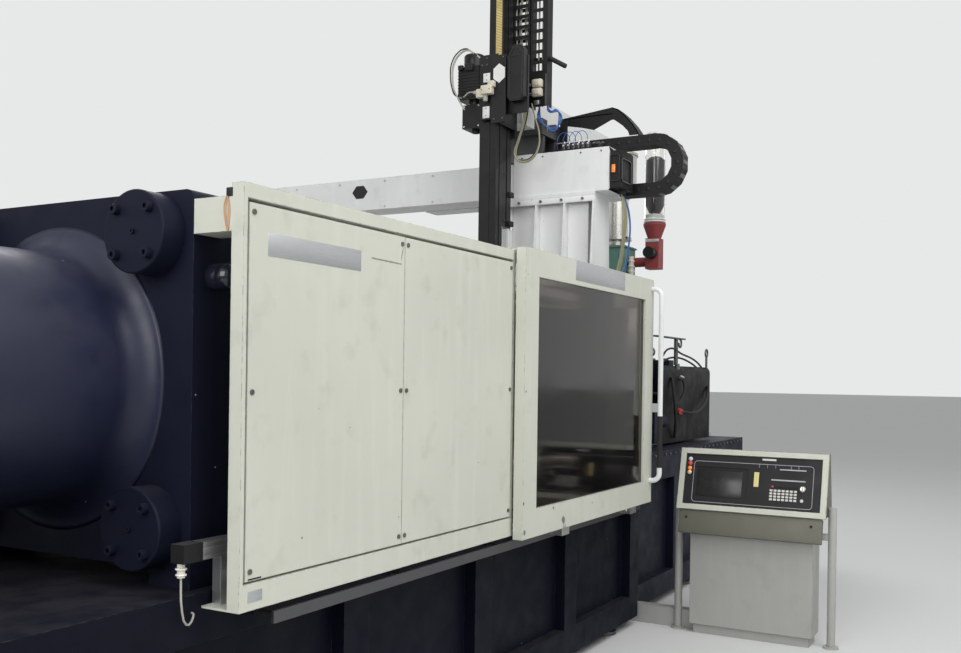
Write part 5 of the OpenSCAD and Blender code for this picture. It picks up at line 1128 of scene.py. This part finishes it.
    def cabling(self):
        """Connectors, cables in the chain and loops below the head."""
        plugs = Piece()
        for low in (3392, 3449):
            plugs.block((3318, 3356), (-250, -184), (low, low + 50), "beige_plastic", 7)
            plugs.block((3312, 3320), (-240, -194), (low + 8, low + 42), "beige_plastic", 4)
            plugs.rod((3356, -156, low + 25), (3346, -156, low + 25), 9, "label_silver", sides=20)
            plugs.rod((3356, -130, low + 10), (3344, -130, low + 10), 9, "rubber", sides=20)
        plugs.block((3340, 3356), (-226, -190), (3345, 3372), "label_silver", 3)
        plugs.rod((3420, -262, 3650), (3424, -372, 3584), 15, "rubber", sides=20, edge=3)
        plugs.finish("head_connectors", "kick_beam", "grey_cable")
        inside = []
        for k, y in enumerate((-30, -48, -64, -84, -102)):
            x = 3410 + (k * 17) % 30
            inside.append([(x, y, 3500), (x + 6, y - 4, 3700), (x - 5, y + 3, 3900), (x + 5, y - 2, 4100),
                           (x, y, 4330)])
        wire("arm_chain_cables", inside[:3], 5.0, "cable_grey", "kick_beam")
        wire("arm_chain_hoses", inside[3:], 4.0, "cable_olive", "kick_beam")
        ladder = [[(3425, y, 3350), (3428, y + 4, 3600), (3422, y, 3900), (3426, y, 4330)] for y in (-184,
                                                                                                     -212)]
        wire("ladder_cables", ladder, 6.0, "cable_grey", "kick_beam")
        path = ((-139, 3340), (-118, 3230), (-82, 3120), (-62, 3050), (-84, 3004), (-130, 2986), (-184, 2998),
                (-230, 3060), (-236, 3155), (-207, 3255), (-182, 3345))
        loops = [[(3335 + 9 * k, y + 7 * k * (-1 if step < 4 else 1), z + 9 * k) for step,
                  (y, z) in enumerate(path)]
                 for k in range(3)]
        wire("head_hoses", loops[:2], 4.5, "cable_olive", "kick_beam")
        wire("head_lead", loops[2], 4.0, "rubber", "kick_beam")
        air = []
        for k in range(3):
            d = k * 10
            air.append([(3400, -258, 3345), (3410, -262 - d, 3310), (3424, -330 + d, 3300 + d),
                        (3430, -345 + d, 3250),
                        (3424, -300, 3208 - d), (3414, -240, 3222), (3404, -212 + d, 3270),
                        (3396, -206, 3345)])
        wire("head_air_loops", air, 4.0, "blue_hose", "kick_beam")


class MACHINE_OT_energy_chain(bpy.types.Operator):
    """Beam's energy chain: link pins and crossbar clips"""

    bl_idname = "machine.energy_chain"
    bl_label = "Energy chain"

    def execute(self, context):
        dress("black_plastic", "beam_chain")
        pins = Piece()
        bend, middle, run, pitch, side, in_bend = -805, 3014, 157, 70, 3850.0, 7
        upper = [bend + pitch * (k + 0.5) for k in range(13)]
        lower = [bend + pitch * (k + 0.5) for k in range(18)]
        angles = [math.radians((k + 0.5) * 180 / in_bend) for k in range(in_bend)]
        places = [(y, middle + run) for y in upper] + [(y, middle - run) for y in lower]
        places += [(bend - run * math.sin(angle), middle + run * math.cos(angle)) for angle in angles]
        for y, z in places:
            pins.turned(((0, 0), (13, 0), (13, 1.5), (10, 3), (6, 3), (5, 1.5), (0, 1.5)), (side, y, z),
                        (-1, 0, 0), "black_anodised", 16)
        for k in range(in_bend):
            turn = Matrix.Translation((0, bend, middle)) @ Matrix.Rotation((k + 0.5) * math.pi / in_bend, 4,
                                                                           "X")
            pins.block((3862, 3948), (-13, 13), (195, 199), "clip_grey", 1.5, turn)
        for y in upper:
            pins.block((3862, 3948), (y - 13, y + 13), (3209, 3212.5), "clip_grey", 1.5)
        pins.finish("chain_pins", "frame", "black_plastic")
        return {"FINISHED"}


class MACHINE_OT_injection_unit(bpy.types.Operator):
    """Injection unit: lifting bracket, eye bolts, hoses and hood"""

    bl_idname = "machine.injection_unit"
    bl_label = "Injection unit"

    def execute(self, context):
        dress("navy_paint", "injection_bed", "carriage", "barrel_cover")
        dress_parts("crosshead", "navy_paint", ("ground_steel", (5400, -420, 1400), (6059, 420, 1800)))
        dress("drum_paint", "purge_guard")
        dress("dark_steel", "barrel", "injection_cylinders", "purge_guard_mount", "screw_motor", "pump_motor")
        dress("ground_steel", "heater_bands", "nozzle", "carriage_rods", "screw")

        side, top = -452.0, 1740.0
        hood = Piece()
        corner = [(side + 60 - 60 * math.cos(a * math.pi / 12), top - 60 + 60 * math.sin(a * math.pi / 12))
                  for a in range(5)]
        inner = [(side + 60 - 55 * math.cos(a * math.pi / 12), top - 60 + 55 * math.sin(a * math.pi / 12))
                 for a in range(4, -1, -1)]
        hood.sheet([(side, 1120)] + corner + inner + [(side + 5, 1120)], "x", 5150, 6400, "hood_black")
        for x in (5200, 5480):
            hood.block((x, x + 60), (side + 4, -300), (1500, 1520), "dark_steel", 2)
        hood.block((5011, 5732), (side + 10, side + 50), (1950, 1962), "dark_steel", 2)
        hood.block((5505, 5565), (side + 5, side + 20), (1560, 1750), "dark_steel", 3)
        hood.rod((5535, side + 30, 1738), (5535, side + 30, 1952), 17, "dark_steel", sides=20)
        hood.block((5525, 5545), (side + 12, side + 36), (1700, 1745), "dark_steel", 2)
        hood.rod((5564, side, 1641), (5560, side - 26, 1630), 20, "label_silver", sides=6)
        hood.rod((5522, side, 1371), (5508, side - 30, 1360), 24, "key_red", sides=24, edge=3)
        hood.rod((6353, side + 20, 1728), (6353, side + 20, 1826), 10, "dark_steel", sides=16)
        hood.finish("cylinder_hood", "carriage", "black_plastic")
        wire("lifting_rings", [arc((5640, side + 30, 1918), 32, 100, -190, "xz", 12),
                               arc((6353, side + 20, 1856), 32, -90, 270, "xz", 16)], 8.0, "dark_steel",
                               "carriage")
        hoses = [
            [(5562, side - 20, 1634), (5540, side - 46, 1560), (5470, side - 40, 1470),
             (5380, side - 30, 1420)],
            [(6330, side - 8, 1560), (6120, side - 46, 1430), (5800, side - 56, 1350),
             (5514, side - 26, 1364)],
            [(5330, side - 8, 1640), (5300, side - 40, 1480), (5330, side - 44, 1300),
             (5400, side - 12, 1160)],
        ]
        wire("injection_hoses", hoses, 12.0, "rubber", "carriage")
        wire("injection_cables", [[(5120, side + 24, 1760), (5300, side + 20, 1860), (5700, side + 26, 1830),
                                   (6100, side + 30, 1775), (6380, side + 40, 1690)],
                                  [(5150, side + 40, 1748), (5500, side + 44, 1800), (6000, side + 44, 1760),
                                   (6380, side + 50, 1660)]], 8.0, "rubber", "carriage")

        trim = Piece()
        trim.turned(((0, 0), (26, 0), (26, 8), (14, 12), (10, 30), (0, 30)), (6110, 0, 1790), (0, 0, 1),
                    "dark_steel")
        trim.turned([(38 + 9 * math.cos(a * math.tau / 12),
                      9 * math.sin(a * math.tau / 12)) for a in range(13)],
                    (6110, 0, 1862), (1, 0, 0), "dark_steel")
        trim.finish("crosshead_eye", "crosshead", "dark_steel")

        bolts = Piece()
        for k in range(26):
            bolts.screw((4060 + k * 110, -620, 1076), (0, -1, 0), 8, "screw_zinc")
        bolts.finish("bed_bolts", "frame", "ground_steel")
        return {"FINISHED"}


class MACHINE_OT_material_feed(bpy.types.Operator):
    """Material feed: granulate, bare tag, label, clamps and valve"""

    bl_idname = "machine.material_feed"
    bl_label = "Material feed"

    def execute(self, context):
        dress("green_paint", "hopper_base")
        dress("stainless", "hopper", "hopper_gate")
        dress_parts("dosing_unit", "red_paint", ("black_plastic", (4900, -440, 2400), (5184, -220, 2700)))
        dress("clear_tube", "sight_tube")
        low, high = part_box("sight_tube")
        floor, top = ((corner.z - DATUM.z) / MM for corner in (low, high))
        x, y = ((low + high) / 2 - DATUM).xy / MM
        radius = (high.y - low.y) / MM / 2 - 6
        fill = Piece()
        inner = radius - 7
        fill.turned(((0, 0), (inner - 30, 0), (inner, 60), (inner, 415), (inner * 0.6, 440), (0, 452)),
                    (x, y, floor + 82), (0, 0, 1), "granulate")
        fill.turned(((0, 0), (inner, 0), (inner, 60), (inner - 4, 62), (0, 76)), (x, y, floor + 6), (0, 0, 1),
                    "white_plastic")
        fill.finish("tube_granulate", "carriage", "black_plastic")
        trim = Piece()
        for z in (floor + 6, floor + 24, top - 16):
            trim.turned(((radius + 0.3, 0), (radius + 5, 2), (radius + 5, 10), (radius + 0.3, 12),
                         (radius + 0.3, 0)),
                        (x, y, z), (0, 0, 1), "white_plastic")
        trim.turned(((0, 0), (radius + 3, 0), (radius + 3, 8), (radius - 4, 16), (0, 18)), (x, y, top),
                    (0, 0, 1), "white_plastic")
        trim.finish("tube_rings", "carriage", "white_paint")

        tags = Piece()
        tags.block((5113.5, 5115), (-118, -78), (2570, 2606), "tag_blue", 0.4)
        tags.block((5183.6, 5185), (y - 55, y + 55), (2700, 2722), "label_silver", 0.4)
        tags.block((5105, 5375), (-135, 135), (2666, 2678), "green_paint", 3)
        for y in (-105, 105):
            for x in (5135, 5345):
                tags.screw((x, y, 2678), (0, 0, 1), 8, "dark_steel")
        tags.rod((5185, -160, 2440), (5185, -160, 2592), 22, "beige_plastic", 22, 24, 3)
        for z in (2470, 2510, 2550):
            tags.rod((5185, -160, z), (5185, -160, z + 10), 28, "white_plastic", sides=24, edge=2)
        tags.block((5170, 5200), (-150, -124), (2450, 2480), "dark_steel", 2)
        tags.finish("feed_trim", "carriage", "green_paint")
        return {"FINISHED"}


class MACHINE_PT_dressing(bpy.types.Panel):
    """Settings and steps of the machine's dressing"""

    bl_idname = "MACHINE_PT_dressing"
    bl_label = "Moulding Machine"
    bl_space_type = "VIEW_3D"
    bl_region_type = "UI"
    bl_category = "Moulding Machine"

    def draw(self, context):
        scene = context.scene
        for group in (scene.machine_colours, scene.machine_wiring, scene.machine_studio):
            box = self.layout.box()
            for name in group.__annotations__:
                box.prop(group, name)
        for step in STEPS:
            self.layout.operator(step.bl_idname)


STEPS = (
    MACHINE_OT_stage, MACHINE_OT_sensor_cable, MACHINE_OT_clamp_unit, MACHINE_OT_guards, MACHINE_OT_doors,
    MACHINE_OT_console, MACHINE_OT_robot_beam, MACHINE_OT_robot_carriage, MACHINE_OT_robot_head,
    MACHINE_OT_energy_chain, MACHINE_OT_injection_unit, MACHINE_OT_material_feed,
)
GROUPS = {"machine_colours": MachineColours, "machine_wiring": MachineWiring, "machine_studio": MachineStudio}


def register():
    for kind in (*GROUPS.values(), *STEPS, MACHINE_PT_dressing):
        bpy.utils.register_class(kind)
    for name, group in GROUPS.items():
        setattr(bpy.types.Scene, name, bpy.props.PointerProperty(type=group))


def unregister():
    for name in GROUPS:
        delattr(bpy.types.Scene, name)
    for kind in reversed((*GROUPS.values(), *STEPS, MACHINE_PT_dressing)):
        bpy.utils.unregister_class(kind)


def main():
    """Registers the classes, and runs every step."""
    register()
    for step in STEPS:
        group, name = step.bl_idname.split(".")
        if getattr(getattr(bpy.ops, group), name)() != {"FINISHED"}:
            raise RuntimeError(step.bl_idname + " didn't finish")


if __name__ == "__main__":
    main()
